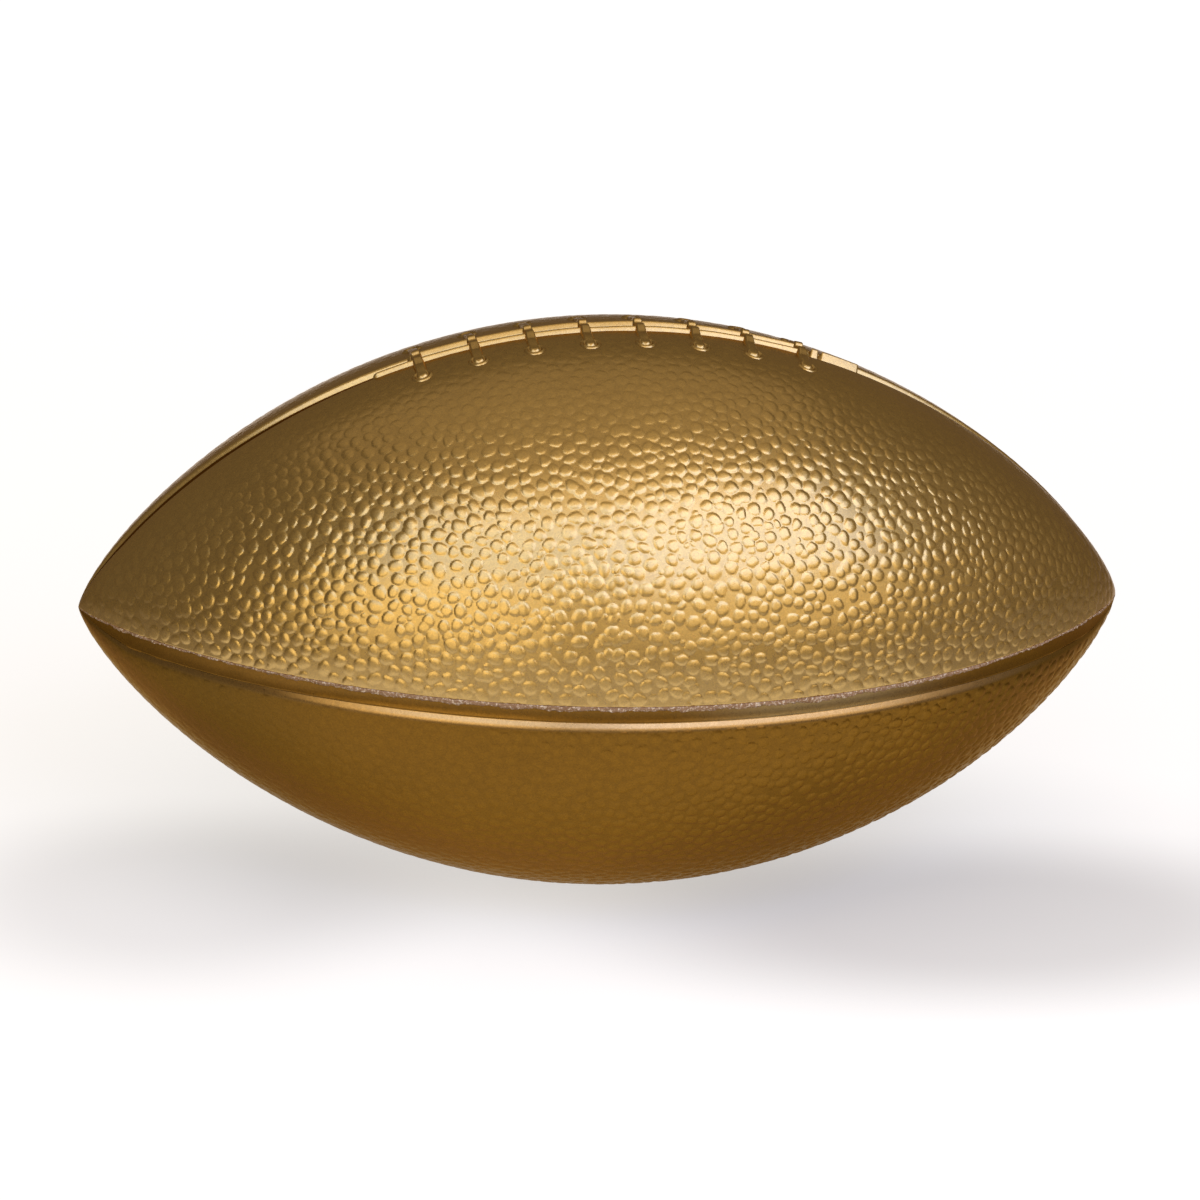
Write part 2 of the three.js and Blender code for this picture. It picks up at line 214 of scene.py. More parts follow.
def closed_tube(rings: Array) -> Pair:
    """Joins rings of points along the ball into a tube with shut ends.

    Args:
        rings: Points by ring and by place round the ring, clockwise as seen from the last ring.

    Returns:
        Vertices and quads; the ends are fans, whose quads meet at a middle vertex.
    """
    count, sides = rings.shape[:2]
    grid = np.arange(count * sides).reshape(count, sides)
    grid = np.concatenate([grid, grid[:, :1]], axis=1)
    middles = np.stack([rings[0].mean(axis=0), rings[-1].mean(axis=0)])
    points = np.concatenate([rings.reshape(-1, 3), middles])
    first, last = count * sides, count * sides + 1
    steps = np.arange(0, sides, 2)
    start = [[first, grid[0, i + 2], grid[0, i + 1], grid[0, i]] for i in steps]
    end = [[last, grid[-1, i], grid[-1, i + 1], grid[-1, i + 2]] for i in steps]
    return points, np.concatenate([grid_faces(grid), np.array(start), np.array(end)])


def stitch(first: int, first_count: int, second: int, second_count: int) -> Array:
    """Triangles between two rows of points, which may hold different counts.

    Args:
        first: Number of the first row's first vertex.
        first_count: Edges in the first row, 0 for a single vertex.
        second: Number of the second row's first vertex.
        second_count: Edges in the second row.

    Returns:
        Triangles, each by its three vertices.
    """
    near, far = np.arange(first_count), np.arange(second_count)
    near_apex = np.floor((near + 0.5) * second_count / max(first_count, 1) + 0.5).astype(int)
    far_apex = np.searchsorted(near_apex, far, side="right")
    from_near = np.stack([first + near, first + near + 1, second + near_apex], axis=-1)
    from_far = np.stack([second + far, first + far_apex, second + far + 1], axis=-1)
    return np.concatenate([from_near, from_far])


def add_node(tree: NodeTree, kind: str, inputs: dict | list | None = None,
             **settings: str) -> Node:
    """Adds a shader node with its settings and links.

    Args:
        tree: Node tree that gets the node.
        kind: Type name of the node, without the words that all shader nodes share.
        inputs: Values by socket name, or as a list in the sockets' order. A socket as a value is linked, and
            so is a node, by its first output.
        settings: Properties of the node.

    Returns:
        The new node.
    """
    node = tree.nodes.new("ShaderNode" + kind)
    for name, value in settings.items():
        setattr(node, name, value)
    for name, value in inputs.items() if isinstance(inputs, dict) else enumerate(inputs or ()):
        if isinstance(value, Node):
            value = next(socket for socket in value.outputs if socket.enabled)
        if isinstance(value, NodeSocket):
            tree.links.new(value, node.inputs[name])
        else:
            node.inputs[name].default_value = value
    return node


def layered(tree: NodeTree, ground: str, *layers: tuple) -> Node:
    """Lays colours over a ground colour.

    Args:
        tree: Node tree that gets the colours.
        ground: The ground colour.
        layers: From the ground up, a node or socket with each layer's share, and its colour.

    Returns:
        Node of the finished colour.
    """
    tone = linear(ground)
    for share, colour in layers:
        tone = add_node(tree, "Mix", {"Factor": share, "A": tone, "B": linear(colour)}, data_type="RGBA")
    return tone


def new_material(name: str) -> tuple[Material, NodeTree]:
    """Makes a material with an empty node tree.

    Args:
        name: Name of the material.

    Returns:
        The material and its tree.
    """
    material = bpy.data.materials.new(name)
    material.use_nodes = True
    material.node_tree.nodes.clear()
    return material, material.node_tree


# Finishes

@dataclass(frozen=True)
class Finish:
    """Finish of a piece. Each kind says how it was made and what that gives the eye."""

    name: str

    def sockets(self, tree: NodeTree, place: NodeSocket) -> dict:
        """Lays out the finish's patterns.

        Args:
            tree: Node tree of the material.
            place: Places in the ball's axes.

        Returns:
            What goes into the shader's sockets.
        """
        raise NotImplementedError

    def build(self) -> Material:
        """Builds the finish.

        Returns:
            Its material.
        """
        material, tree = new_material(self.name)
        place = add_node(tree, "TexCoord").outputs["Object"]
        shader = add_node(tree, "BsdfPrincipled", self.sockets(tree, place))
        add_node(tree, "OutputMaterial", {"Surface": shader})
        return material


@dataclass(frozen=True)
class GoldPaint(Finish):
    """Metallic gold lacquer, sprayed on moulded rubber.

    The flakes give a broad satin metal gleam, and the clear binder over them a paler, tighter highlight. The
    ground between the pebbles is painted darker than their crowns, as painted shade. A smooth lip, if it
    has a colour of its own, carries a painted highlight, and where the noses have a colour, it is painted
    shade that deepens towards each nose.
    """

    colour: str
    # Ground colour, which on the panels is painted shade between the pebbles
    ground_and_shade: str
    crown: str
    # The lip's colour is a painted highlight, and the noses' colour is painted shade
    lip: str = ""
    nose: str = ""
    nose_span: Span = (56 * MM, 98 * MM)
    roughness: float = 0.3
    roughness_spread: float = 0.05
    metallic: float = 0.95
    edge: str = "#E0C088"
    coat: float = 0.4
    coat_roughness: float = 0.24
    coat_ior: float = 2.6
    mottle_size: float = 16 * MM
    mottle_span: Span = (0.3, 0.7)
    mottle_share: float = 0.3
    peel_size: float = 0.9 * MM
    peel_span: Span = (0.25, 0.75)
    peel_height: float = 0.006 * MM
    # Real flakes are a tenth of this size, so they are drawn coarser to show at all
    flake_size: float = 0.32 * MM
    flake_spread: float = 0.1

    def sockets(self, tree: NodeTree, place: NodeSocket) -> dict:
        """Lays out the mottle, the orange peel, the flakes, and the colours with their painted shade and
        highlight.

        Args:
            tree: Node tree of the material.
            place: Places on the ball.

        Returns:
            What goes into the shader's sockets.
        """
        relief = add_node(tree, "Attribute", attribute_name="relief").outputs["Fac"]
        mottle = add_node(tree, "TexNoise", {"Vector": place, "Scale": 1 / self.mottle_size, "Detail": 3.0,
                                             "Roughness": 0.6})
        peel = add_node(tree, "TexNoise", {"Vector": place, "Scale": 1 / self.peel_size, "Detail": 2.0})
        flake = add_node(tree, "TexVoronoi", {"Vector": place, "Scale": 1 / self.flake_size})
        flake_tone = add_node(tree, "SeparateColor", {"Color": flake.outputs["Color"]})
        glint = add_node(tree, "MapRange", [flake_tone, 0.0, 1.0, 1.0 - self.flake_spread,
                                            1.0 + self.flake_spread])
        uneven = add_node(tree, "MapRange", [mottle, *self.mottle_span, 0.0, self.mottle_share])
        # The pebbles' relief lifts them to the full colour over the ground, whose darker colour is painted
        # shade
        layers = [(relief, self.colour), (uneven, self.crown)]
        # Painted shade, deepening towards each nose
        if self.nose:
            along = add_node(tree, "SeparateXYZ", {"Vector": place}).outputs["X"]
            along = add_node(tree, "Math", [along], operation="ABSOLUTE")
            layers.append((add_node(tree, "MapRange", [along, *self.nose_span],
                                    interpolation_type="SMOOTHSTEP"), self.nose))
        # Painted highlight on the lips
        if self.lip:
            layers.append((add_node(tree, "Attribute", attribute_name="lip").outputs["Fac"], self.lip))
        tone = layered(tree, self.ground_and_shade, *layers)
        return {
            "Base Color": add_node(tree, "VectorMath", {0: tone, "Scale": glint}, operation="SCALE"),
            "Metallic": self.metallic,
            "Roughness": add_node(tree, "MapRange", [
                peel, *self.peel_span, self.roughness - self.roughness_spread,
                self.roughness + self.roughness_spread]),
            "Normal": add_node(tree, "Bump", {"Height": peel, "Strength": 1.0, "Distance": self.peel_height}),
            "Specular Tint": linear(self.edge), "Coat Weight": self.coat,
            "Coat Roughness": self.coat_roughness, "Coat IOR": self.coat_ior}


@dataclass(frozen=True)
class TrimmedRubber(Finish):
    """Moulded rubber flash, cut back with a blade.

    The cut bares the dull brown-grey rubber under the paint, with pale torn crumbs along it.
    """

    name: str = "trimmed_moulded_rubber"
    colour: str = "#94704E"
    torn: str = "#E6D2B4"
    torn_span: Span = (0.5, 0.66)
    torn_share: float = 0.9
    painted: str = "#7A5530"
    painted_span: Span = (0.45, 0.7)
    painted_share: float = 0.6
    crumb_size: float = 0.55 * MM
    crumb_height: float = 0.08 * MM
    smear_size: float = 5 * MM
    roughness: float = 0.75

    def sockets(self, tree: NodeTree, place: NodeSocket) -> dict:
        """Lays out the torn crumbs and the smears of paint.

        Args:
            tree: Node tree of the material.
            place: Places on the ball.

        Returns:
            What goes into the shader's sockets.
        """
        crumb = add_node(tree, "TexNoise", {"Vector": place, "Scale": 1 / self.crumb_size, "Detail": 3.0,
                                            "Roughness": 0.7})
        smear = add_node(tree, "TexNoise", {"Vector": place, "Scale": 1 / self.smear_size})
        stained = add_node(tree, "MapRange", [smear, *self.painted_span, 0.0, self.painted_share])
        torn = add_node(tree, "MapRange", [crumb, *self.torn_span, 0.0, self.torn_share])
        return {
            "Base Color": layered(tree, self.colour, (stained, self.painted), (torn, self.torn)),
            "Roughness": self.roughness,
            "Normal": add_node(tree, "Bump", {"Height": crumb, "Strength": 1.0,
                                              "Distance": self.crumb_height})}


@dataclass(frozen=True)
class MouldedRubber(Finish):
    """Plain moulded rubber: dark and dull, with a fine grain from the mould and a bloom of dust."""

    colour: str
    bloom: str
    roughness: float
    roughness_spread: float = 0.1
    ior: float = 1.52
    grain_size: float = 0.4 * MM
    grain_height: float = 0.03 * MM
    bloom_size: float = 6 * MM

    def sockets(self, tree: NodeTree, place: NodeSocket) -> dict:
        """Lays out the mould's grain and the bloom.

        Args:
            tree: Node tree of the material.
            place: Places on the ball.

        Returns:
            What goes into the shader's sockets.
        """
        grain = add_node(tree, "TexNoise", {"Vector": place, "Scale": 1 / self.grain_size, "Detail": 2.0})
        cloud = add_node(tree, "TexNoise", {"Vector": place, "Scale": 1 / self.bloom_size})
        return {
            "Base Color": layered(tree, self.colour, (cloud, self.bloom)),
            "Roughness": add_node(tree, "MapRange", [grain, 0.0, 1.0, self.roughness - self.roughness_spread,
                                                     self.roughness + self.roughness_spread]),
            "Normal": add_node(tree, "Bump", {"Height": grain, "Strength": 1.0,
                                              "Distance": self.grain_height}),
            "IOR": self.ior}


@dataclass(frozen=True)
class WoundNylon(Finish):
    """Nylon thread, wound over the bladder in latex: pale matte turns that cross each other."""

    # Length of one wave of the wave texture at a scale of 1
    WAVE_LENGTH: ClassVar[float] = FULL_TURN / 20

    name: str = "wound_nylon_in_latex"
    thread: str = "#DED5C0"
    latex: str = "#B9AA88"
    # Threads are under a millimetre wide, so a bundle of them is drawn as one turn
    turn_width: float = 5.02655 * MM
    turn_height: float = 0.1 * MM
    turn_waviness: float = 1.5
    roughness: float = 0.8

    def sockets(self, tree: NodeTree, place: NodeSocket) -> dict:
        """Lays out the crossing turns.

        Args:
            tree: Node tree of the material.
            place: Places on the ball.

        Returns:
            What goes into the shader's sockets.
        """
        wave = {"Vector": place, "Scale": self.WAVE_LENGTH / self.turn_width,
                "Distortion": self.turn_waviness}
        turns = [add_node(tree, "TexWave", wave, bands_direction=way).outputs["Fac"]
                 for way in ("X", "DIAGONAL")]
        crossed = add_node(tree, "Math", turns, operation="MAXIMUM")
        return {
            "Base Color": layered(tree, self.latex, (crossed, self.thread)), "Roughness": self.roughness,
            "Normal": add_node(tree, "Bump", {"Height": crossed, "Strength": 1.0,
                                              "Distance": self.turn_height})}


# Form of the ball

class Seam(Enum):
    """Seam lines, by their angle about the X axis."""

    TOP = 0.0
    FRONT = 0.5 * math.pi
    BOTTOM = math.pi
    REAR = 1.5 * math.pi


@dataclass(frozen=True)
class BallForm:
    """Smooth outline of the ball, under the pebbles."""

    half_length: float = 120.5 * MM
    radius: float = -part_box("upper_front_panel")[0].y
    power: float = 1.53
    cover: float = 2.2 * MM
    channel_depth: float = 1.3 * MM
    taper_radius: float = 16 * MM
    shallow_span: Span = (50 * MM, 98 * MM)
    outline_steps: int = 6000

    def face_radius(self, sweep: Array) -> Array:
        """Radius of the cover's face about the X axis."""
        return self.radius * np.cos(sweep) ** self.power

    def x_at(self, sweep: Array) -> Array:
        """Place along the length at a sweep."""
        return self.half_length * np.sin(sweep)

    def sweep_at(self, x: Array) -> Array:
        """Sweep at a place along the length."""
        return np.arcsin(x / self.half_length)

    def channel_share(self, sweep: Array) -> Array:
        """Share of its full size that a seam channel has, which falls towards the noses."""
        return np.minimum(1.0, self.face_radius(sweep) / self.taper_radius)

    def depth(self, sweep: Array, nose_share: float) -> Array:
        """Depth of a seam channel, of which a share is left near the noses."""
        shallow = (1.0 - nose_share) * smooth(*self.shallow_span, abs(self.x_at(sweep)))
        return self.channel_depth * self.channel_share(sweep) * (1.0 - shallow)

    def slope(self, sweep: Array) -> Pair:
        """Run along X and fall of the radius for a turn of the sweep."""
        cos, power = np.cos(sweep), self.power
        return self.half_length * cos, self.radius * power * cos ** (power - 1) * np.sin(sweep)

    def ways(self, sweep: Array, angle: Array) -> tuple[Array, Array, Array]:
        """Directions at a place on the face.

        Args:
            sweep: Sweeps of the places.
            angle: Their angles.

        Returns:
            Unit vectors outwards, along the ball and round it.
        """
        run, fall = self.slope(sweep)
        size = np.hypot(run, fall)
        cos, sin, none = np.cos(angle), np.sin(angle), np.zeros_like(run + angle)
        out = np.stack([fall + none, -run * sin, run * cos], axis=-1) / (size + none)[..., None]
        along = np.stack([run + none, fall * sin, -fall * cos], axis=-1) / (size + none)[..., None]
        return out, along, np.stack([none, -cos + none, -sin + none], axis=-1)

    def point(self, sweep: Array, angle: Array | float, height: Array | float) -> Array:
        """Places at a height over the cover's face.

        Args:
            sweep: Sweeps of the places.
            angle: Their angles.
            height: Heights, square to the face.

        Returns:
            Points, with the axes last.
        """
        sweep, angle, height = np.broadcast_arrays(sweep, angle, height)
        radius = self.face_radius(sweep)
        foot = np.stack([self.x_at(sweep), -radius * np.sin(angle), radius * np.cos(angle)], axis=-1)
        return foot + height[..., None] * self.ways(sweep, angle)[0]

    def inset(self, sweep: Array, angle: Array, depth: float) -> Array:
        """Places on the outline drawn in by a depth, which closes at the noses without crossing itself.

        Args:
            sweep: Sweeps of the places.
            angle: Their angles.
            depth: Depth below the face.

        Returns:
            Points, with the axes last.
        """
        sweep, angle = np.broadcast_arrays(sweep, angle)
        radius = (self.radius - depth) * np.cos(sweep) ** self.power
        x = (self.half_length - depth) * np.sin(sweep)
        return np.stack([x, -radius * np.sin(angle), radius * np.cos(angle)], axis=-1)

    def meridian(self, spacing: float) -> tuple[Array, Array, float]:
        """Rows along the ball at even steps from nose to nose, without the noses themselves.

        Args:
            spacing: Wanted step along the face.

        Returns:
            Sweep of each row, its distance from the first nose, and the true step.
        """
        fine = np.linspace(-QUARTER_TURN, QUARTER_TURN, self.outline_steps + 1)
        steps = np.hypot(np.diff(self.x_at(fine)), np.diff(self.face_radius(fine)))
        length = np.concatenate([[0.0], np.cumsum(steps)])
        count = round(length[-1] / spacing)
        marks = np.linspace(0.0, length[-1], count + 1)[1:-1]
        return np.interp(marks, length, fine), marks, length[-1] / count


FORM = BallForm()


@dataclass(frozen=True)
class LacingPlan:
    """Where the lacing lies on the ball, for the panels and the lacing itself."""

    middle: float = -2.9 * MM
    count: int = 8
    pitch: float = 12.35 * MM
    eyelet_arc: float = 9.6 * MM
    eyelet_radius: float = 1.85 * MM
    rail_arc: float = 1.95 * MM
    # The rails' reach past the first and the last bar, the tab's place past the last, and the bars' waves
    front_lead: float = 10 * MM
    rear_lead: float = 2 * MM
    rail_tail: float = 2.2 * MM
    tab_span: Span = (2.6 * MM, 14.8 * MM)
    bar_seed: int = 40

    def bars(self) -> list[float]:
        """Places of the bars along the length."""
        return [self.middle + (i - (self.count - 1) / 2) * self.pitch for i in range(self.count)]

    def eyelets(self, side: int) -> Array:
        """Middles of the eyelets at the bars' ends; side is 1 at the front and -1 at the rear."""
        sweep = FORM.sweep_at(np.array(self.bars()))
        return FORM.point(sweep, side * self.eyelet_arc / FORM.face_radius(sweep), 0.0)


LACING = LacingPlan()


@dataclass(frozen=True)
class ValvePlan:
    """Needle valve in the lower rear panel: a rubber housing through the wall and a soft core in it.

    Places along its axis are distances from the ball's middle.
    """

    stem: float = 3.5 * MM
    bore: float = 1.55 * MM
    top: float = FORM.radius - 0.42 * MM
    round_over: float = 0.35 * MM
    round_steps: int = 4
    flange: float = 8 * MM
    flange_top: float = 58.9 * MM
    flange_bottom: float = 57.7 * MM
    nipple: float = 3 * MM
    nipple_end: float = 49.7 * MM
    core_slack: float = 0.03 * MM
    core_recess: float = 0.25 * MM
    core_middle: float = 0.01 * MM
    mouth: float = 1 * MM
    mouth_throat: float = 0.75 * MM
    mouth_throat_depth: float = 0.3 * MM
    mouth_tip: float = 0.3 * MM
    mouth_depth: float = 2 * MM

    @staticmethod
    def axis() -> Array:
        """Direction of the valve, outwards."""
        return np.array([0.0, math.sqrt(0.5), -math.sqrt(0.5)])

    def from_middle(self, spots: Array) -> Array:
        """Distance of places on the face from the valve's middle."""
        return np.linalg.norm(spots - self.axis() * FORM.radius, axis=-1)

    def rounded(self, radius: float, side: int) -> list[Span]:
        """Quarter round at the top of a wall.

        Args:
            radius: Radius of the wall.
            side: 1 for an outer wall, whose round is drawn from its foot, and -1 for an inner one.

        Returns:
            Radii and places along the axis.
        """
        turns = [QUARTER_TURN * i / self.round_steps for i in range(self.round_steps + 1)][::side]
        size = self.round_over
        return [(radius - side * size * (1 - math.cos(a)), self.top - size * (1 - math.sin(a)))
                for a in turns]

    def housing(self) -> list[Span]:
        """Profile of the housing, from the bore's inner end round the outside.

        Returns:
            Radii and places along the axis.
        """
        return [(self.bore, self.nipple_end), (self.nipple, self.nipple_end),
                (self.nipple, self.flange_bottom), (self.flange, self.flange_bottom),
                (self.flange, self.flange_top), (self.stem, self.flange_top),
                *self.rounded(self.stem, 1), *self.rounded(self.bore, -1)]

    def core(self) -> list[Span]:
        """Profile of the core, with a mouth for the needle.

        Returns:
            Radii and places along the axis.
        """
        side, top = self.bore - self.core_slack, self.top - self.core_recess
        return [(self.core_middle, self.nipple_end), (side, self.nipple_end), (side, top), (self.mouth, top),
                (self.mouth_throat, top - self.mouth_throat_depth), (self.mouth_tip, top - self.mouth_depth),
                (self.core_middle, top - self.mouth_depth)]


VALVE = ValvePlan()


@dataclass
class Piece:
    """A piece of the ball with a mesh of its own, named for the CAD node that it replaces."""

    IS_NODE: ClassVar[bool] = True

    name: str
    slot: str

    def mesh(self) -> Pair:
        """Vertices and faces of the piece."""
        raise NotImplementedError

    def add_layers(self, piece: Object) -> None:
        """Adds what a kind of piece has beyond its faces; most have nothing."""

    def build(self, finish: Material) -> None:
        """Builds and dresses the piece, rides it on the ball's body and hides any CAD node that it replaces.

        Args:
            finish: Its material.
        """
        piece = make_mesh(self.name, *self.mesh())
        self.add_layers(piece)
        piece.data.materials.append(finish)
        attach(piece, BODY)
        if self.IS_NODE:
            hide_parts(self.name)
        LOG.info("%s: %d faces", piece.name, len(piece.data.polygons))


# Cover panels

@dataclass(frozen=True)
class PanelEdge:
    """How a panel ends beside a seam.

    It has its distance from the seam line, the width of its rounded lip, the share of the channel's depth
    that the lip falls, and the share of the depth that is left near the noses.
    """

    setback: float
    run: float
    fall: float = 1.0
    nose_share: float = 1.0

    def foot(self, sweep: Array) -> Array:
        """Distance of the lip's foot from the seam line."""
        return self.setback * FORM.channel_share(sweep)

    def top(self, sweep: Array) -> Array:
        """Distance of the lip's top from the seam line."""
        return (self.setback + self.run) * FORM.channel_share(sweep)

    def lip_width(self, sweep: Array) -> Array:
        """Width of the lip along the ball."""
        return self.run * FORM.channel_share(sweep)


CENTRED_EDGE = PanelEdge(1.7 * MM, 1.05 * MM, nose_share=0.66)
PARTING_EDGE = PanelEdge(0.0, 0.5 * MM)
PARTING_LOWER_EDGE = PanelEdge(3.8 * MM, 2.05 * MM, 0.68, 0.3)


@dataclass(frozen=True)
class PebbleClass:
    """Pebbles of one size range, and how hard the scatter tries to place them."""

    smallest: float
    largest: float
    tries: int


@dataclass
class Pebbles:
    """Moulded pebbles, scattered over a panel without a pattern."""

    seed: int
    strength: float = 1.0
    classes: tuple[PebbleClass, ...] = (
        PebbleClass(1.24 * MM, 1.6 * MM, 18000),
        PebbleClass(0.9 * MM, 1.15 * MM, 3500),
        PebbleClass(0.55 * MM, 0.75 * MM, 1200),
    )
    height: float = 0.195 * MM
    height_radius: float = 1.4 * MM
    height_range: Span = (0.8, 1.15)
    roundness: float = 3.4
    fillet: float = 0.1
    skirt: float = 1.13
    crowding: float = 0.87
    merged_share: float = 0.06
    merged_crowding: float = 0.66
    rounds: int = 24
    spread: float = 1.05
    push_reach: float = 2.1
    push_share: float = 0.3
    merged_hold: float = 0.8
    nose_limit: float = 0.98
    longest: float = 1.15
    warp: float = 0.13 * MM
    warp_size: float = 3.0 * MM
    warp_seeds: tuple[int, int, int] = (11, 12, 13)

    def scatter(self, panel: "CoverPanel") -> None:
        """Throws pebbles on the panel and keeps those that lie clear of the earlier ones.

        Args:
            panel: Panel that says where pebbles may lie.
        """
        draw = np.random.default_rng(self.seed)
        cell = 2 * self.classes[0].largest
        kept: dict[tuple[int, int, int], list[tuple[Array, float]]] = {}
        found = []
        near = [(i, j, k) for i in (-1, 0, 1) for j in (-1, 0, 1) for k in (-1, 0, 1)]
        for size in self.classes:
            sweep, angle = panel.throw(draw, size.tries)
            spots = FORM.point(sweep, angle, 0.0)
            radii = draw.uniform(size.smallest, size.largest, size.tries)
            merged = draw.random(size.tries) < self.merged_share
            crowding = np.where(merged, self.merged_crowding, self.crowding)
            allowed = panel.room(sweep, angle, spots) > radii
            for i in np.flatnonzero(allowed):
                home = tuple(np.floor(spots[i] / cell).astype(int))
                cells = ((home[0] + n[0], home[1] + n[1], home[2] + n[2]) for n in near)
                others = [other for spot in cells for other in kept.get(spot, ())]
                if all(math.dist(spots[i], o[0]) > crowding[i] * (radii[i] + o[1]) for o in others):
                    kept.setdefault(home, []).append((spots[i], radii[i]))
                    found.append((sweep[i], angle[i], radii[i], merged[i]))
        self.sweep, self.angle, self.size, self.merged = (np.array(column) for column in zip(*found))
        self.push_apart(panel)
        self.row = np.interp(self.sweep, panel.sweeps, np.arange(len(panel.sweeps)))
        self.spot = FORM.point(self.sweep, self.angle, 0.0)
        turn = draw.uniform(0, math.pi, len(self.size))[:, None]
        _, along, around = FORM.ways(self.sweep, self.angle)
        self.long_way = np.cos(turn) * along + np.sin(turn) * around
        self.cross_way = np.cos(turn) * around - np.sin(turn) * along
        self.stretch = draw.uniform(1.0, self.longest, len(self.size))
        crown = self.height * np.minimum(1.0, self.size / self.height_radius)
        crown = crown * draw.uniform(*self.height_range, len(turn))
        self.crown = crown * self.strength * panel.pebble_share(self.spot, self.angle)

    def push_apart(self, panel: "CoverPanel") -> None:
        """Evens out the gaps: pebbles that crowd each other move apart, but a few stay merged.

        Args:
            panel: Panel that says where pebbles may lie.
        """
        start, limit = panel.seam.value, self.nose_limit * FORM.half_length
        for _ in range(self.rounds):
            spots = FORM.point(self.sweep, self.angle, 0.0)
            square = (spots ** 2).sum(axis=1)
            gap = square[:, None] + square[None, :] - 2.0 * spots @ spots.T
            first, second = np.nonzero(np.triu(gap < (self.push_reach * self.classes[0].largest) ** 2, 1))
            away = spots[first] - spots[second]
            distance = np.linalg.norm(away, axis=1)
            wanted = self.spread * (self.size[first] + self.size[second])
            merged = (self.merged[first] | self.merged[second]) & (distance < self.merged_hold * wanted)
            push = np.where(merged, 0.0, np.clip(wanted - distance, 0.0, None)) * self.push_share
            step = away / distance[:, None] * push[:, None]
            moved = spots.copy()
            np.add.at(moved, first, step)
            np.add.at(moved, second, -step)
            sweep = FORM.sweep_at(np.clip(moved[:, 0], -limit, limit))
            angle = start + (np.arctan2(-moved[:, 1], moved[:, 2]) - start) % FULL_TURN
            clear = panel.room(sweep, angle, FORM.point(sweep, angle, 0.0)) > self.size
            self.sweep = np.where(clear, sweep, self.sweep)
            self.angle = np.where(clear, angle, self.angle)

    def near(self, panel: "CoverPanel") -> None:
        """Pairs each pebble with the panel's vertices around it.

        Args:
            panel: Panel with its rows of vertices in place.
        """
        reach = math.ceil((self.classes[0].largest * self.longest * self.skirt + self.warp) / panel.step)
        offsets = np.arange(-reach, reach + 1)
        rows = np.round(self.row).astype(int)[:, None] + offsets
        inside = (rows >= 0) & (rows < len(panel.sweeps))
        rows = rows.clip(0, len(panel.sweeps) - 1)
        middle = (self.angle[:, None] - panel.first_lip[rows]) / panel.turn[rows]
        columns = np.round(middle).astype(int)[..., None] + offsets + panel.LIP_COLUMNS
        inside = inside[..., None] & (columns >= 0) & (columns < panel.counts[rows][..., None])
        pebble = np.broadcast_to(np.arange(len(self.size))[:, None, None], columns.shape)
        self.pair_pebble = pebble[inside]
        self.pair_vertex = (panel.starts[rows][..., None] + columns)[inside]

    def height_at(self, points: Array) -> Array:
        """Height of the pebbles at the panel's vertices.

        Args:
            points: The vertices' places on the smooth face, which may be shifted a little.

        Returns:
            A height for each place.
        """
        pebble = self.pair_pebble
        bent = np.stack([ripple(points, self.warp_size, self.seed + i) for i in self.warp_seeds], axis=-1)
        away = (points + self.warp * bent)[self.pair_vertex] - self.spot[pebble]
        size, stretch = self.size[pebble], self.stretch[pebble]
        long = np.einsum("ij,ij->i", away, self.long_way[pebble]) / (size * stretch)
        cross = np.einsum("ij,ij->i", away, self.cross_way[pebble]) * stretch / size
        cap = 1.0 - np.hypot(long, cross) ** self.roundness
        rim = 1.0 - self.skirt ** self.roundness
        bulge = (cap + np.hypot(cap, self.fillet) - rim - math.hypot(rim, self.fillet)) / 2
        total = np.zeros(len(points))
        np.maximum.at(total, self.pair_vertex, self.crown[pebble] * np.clip(bulge, 0.0, None))
        return total


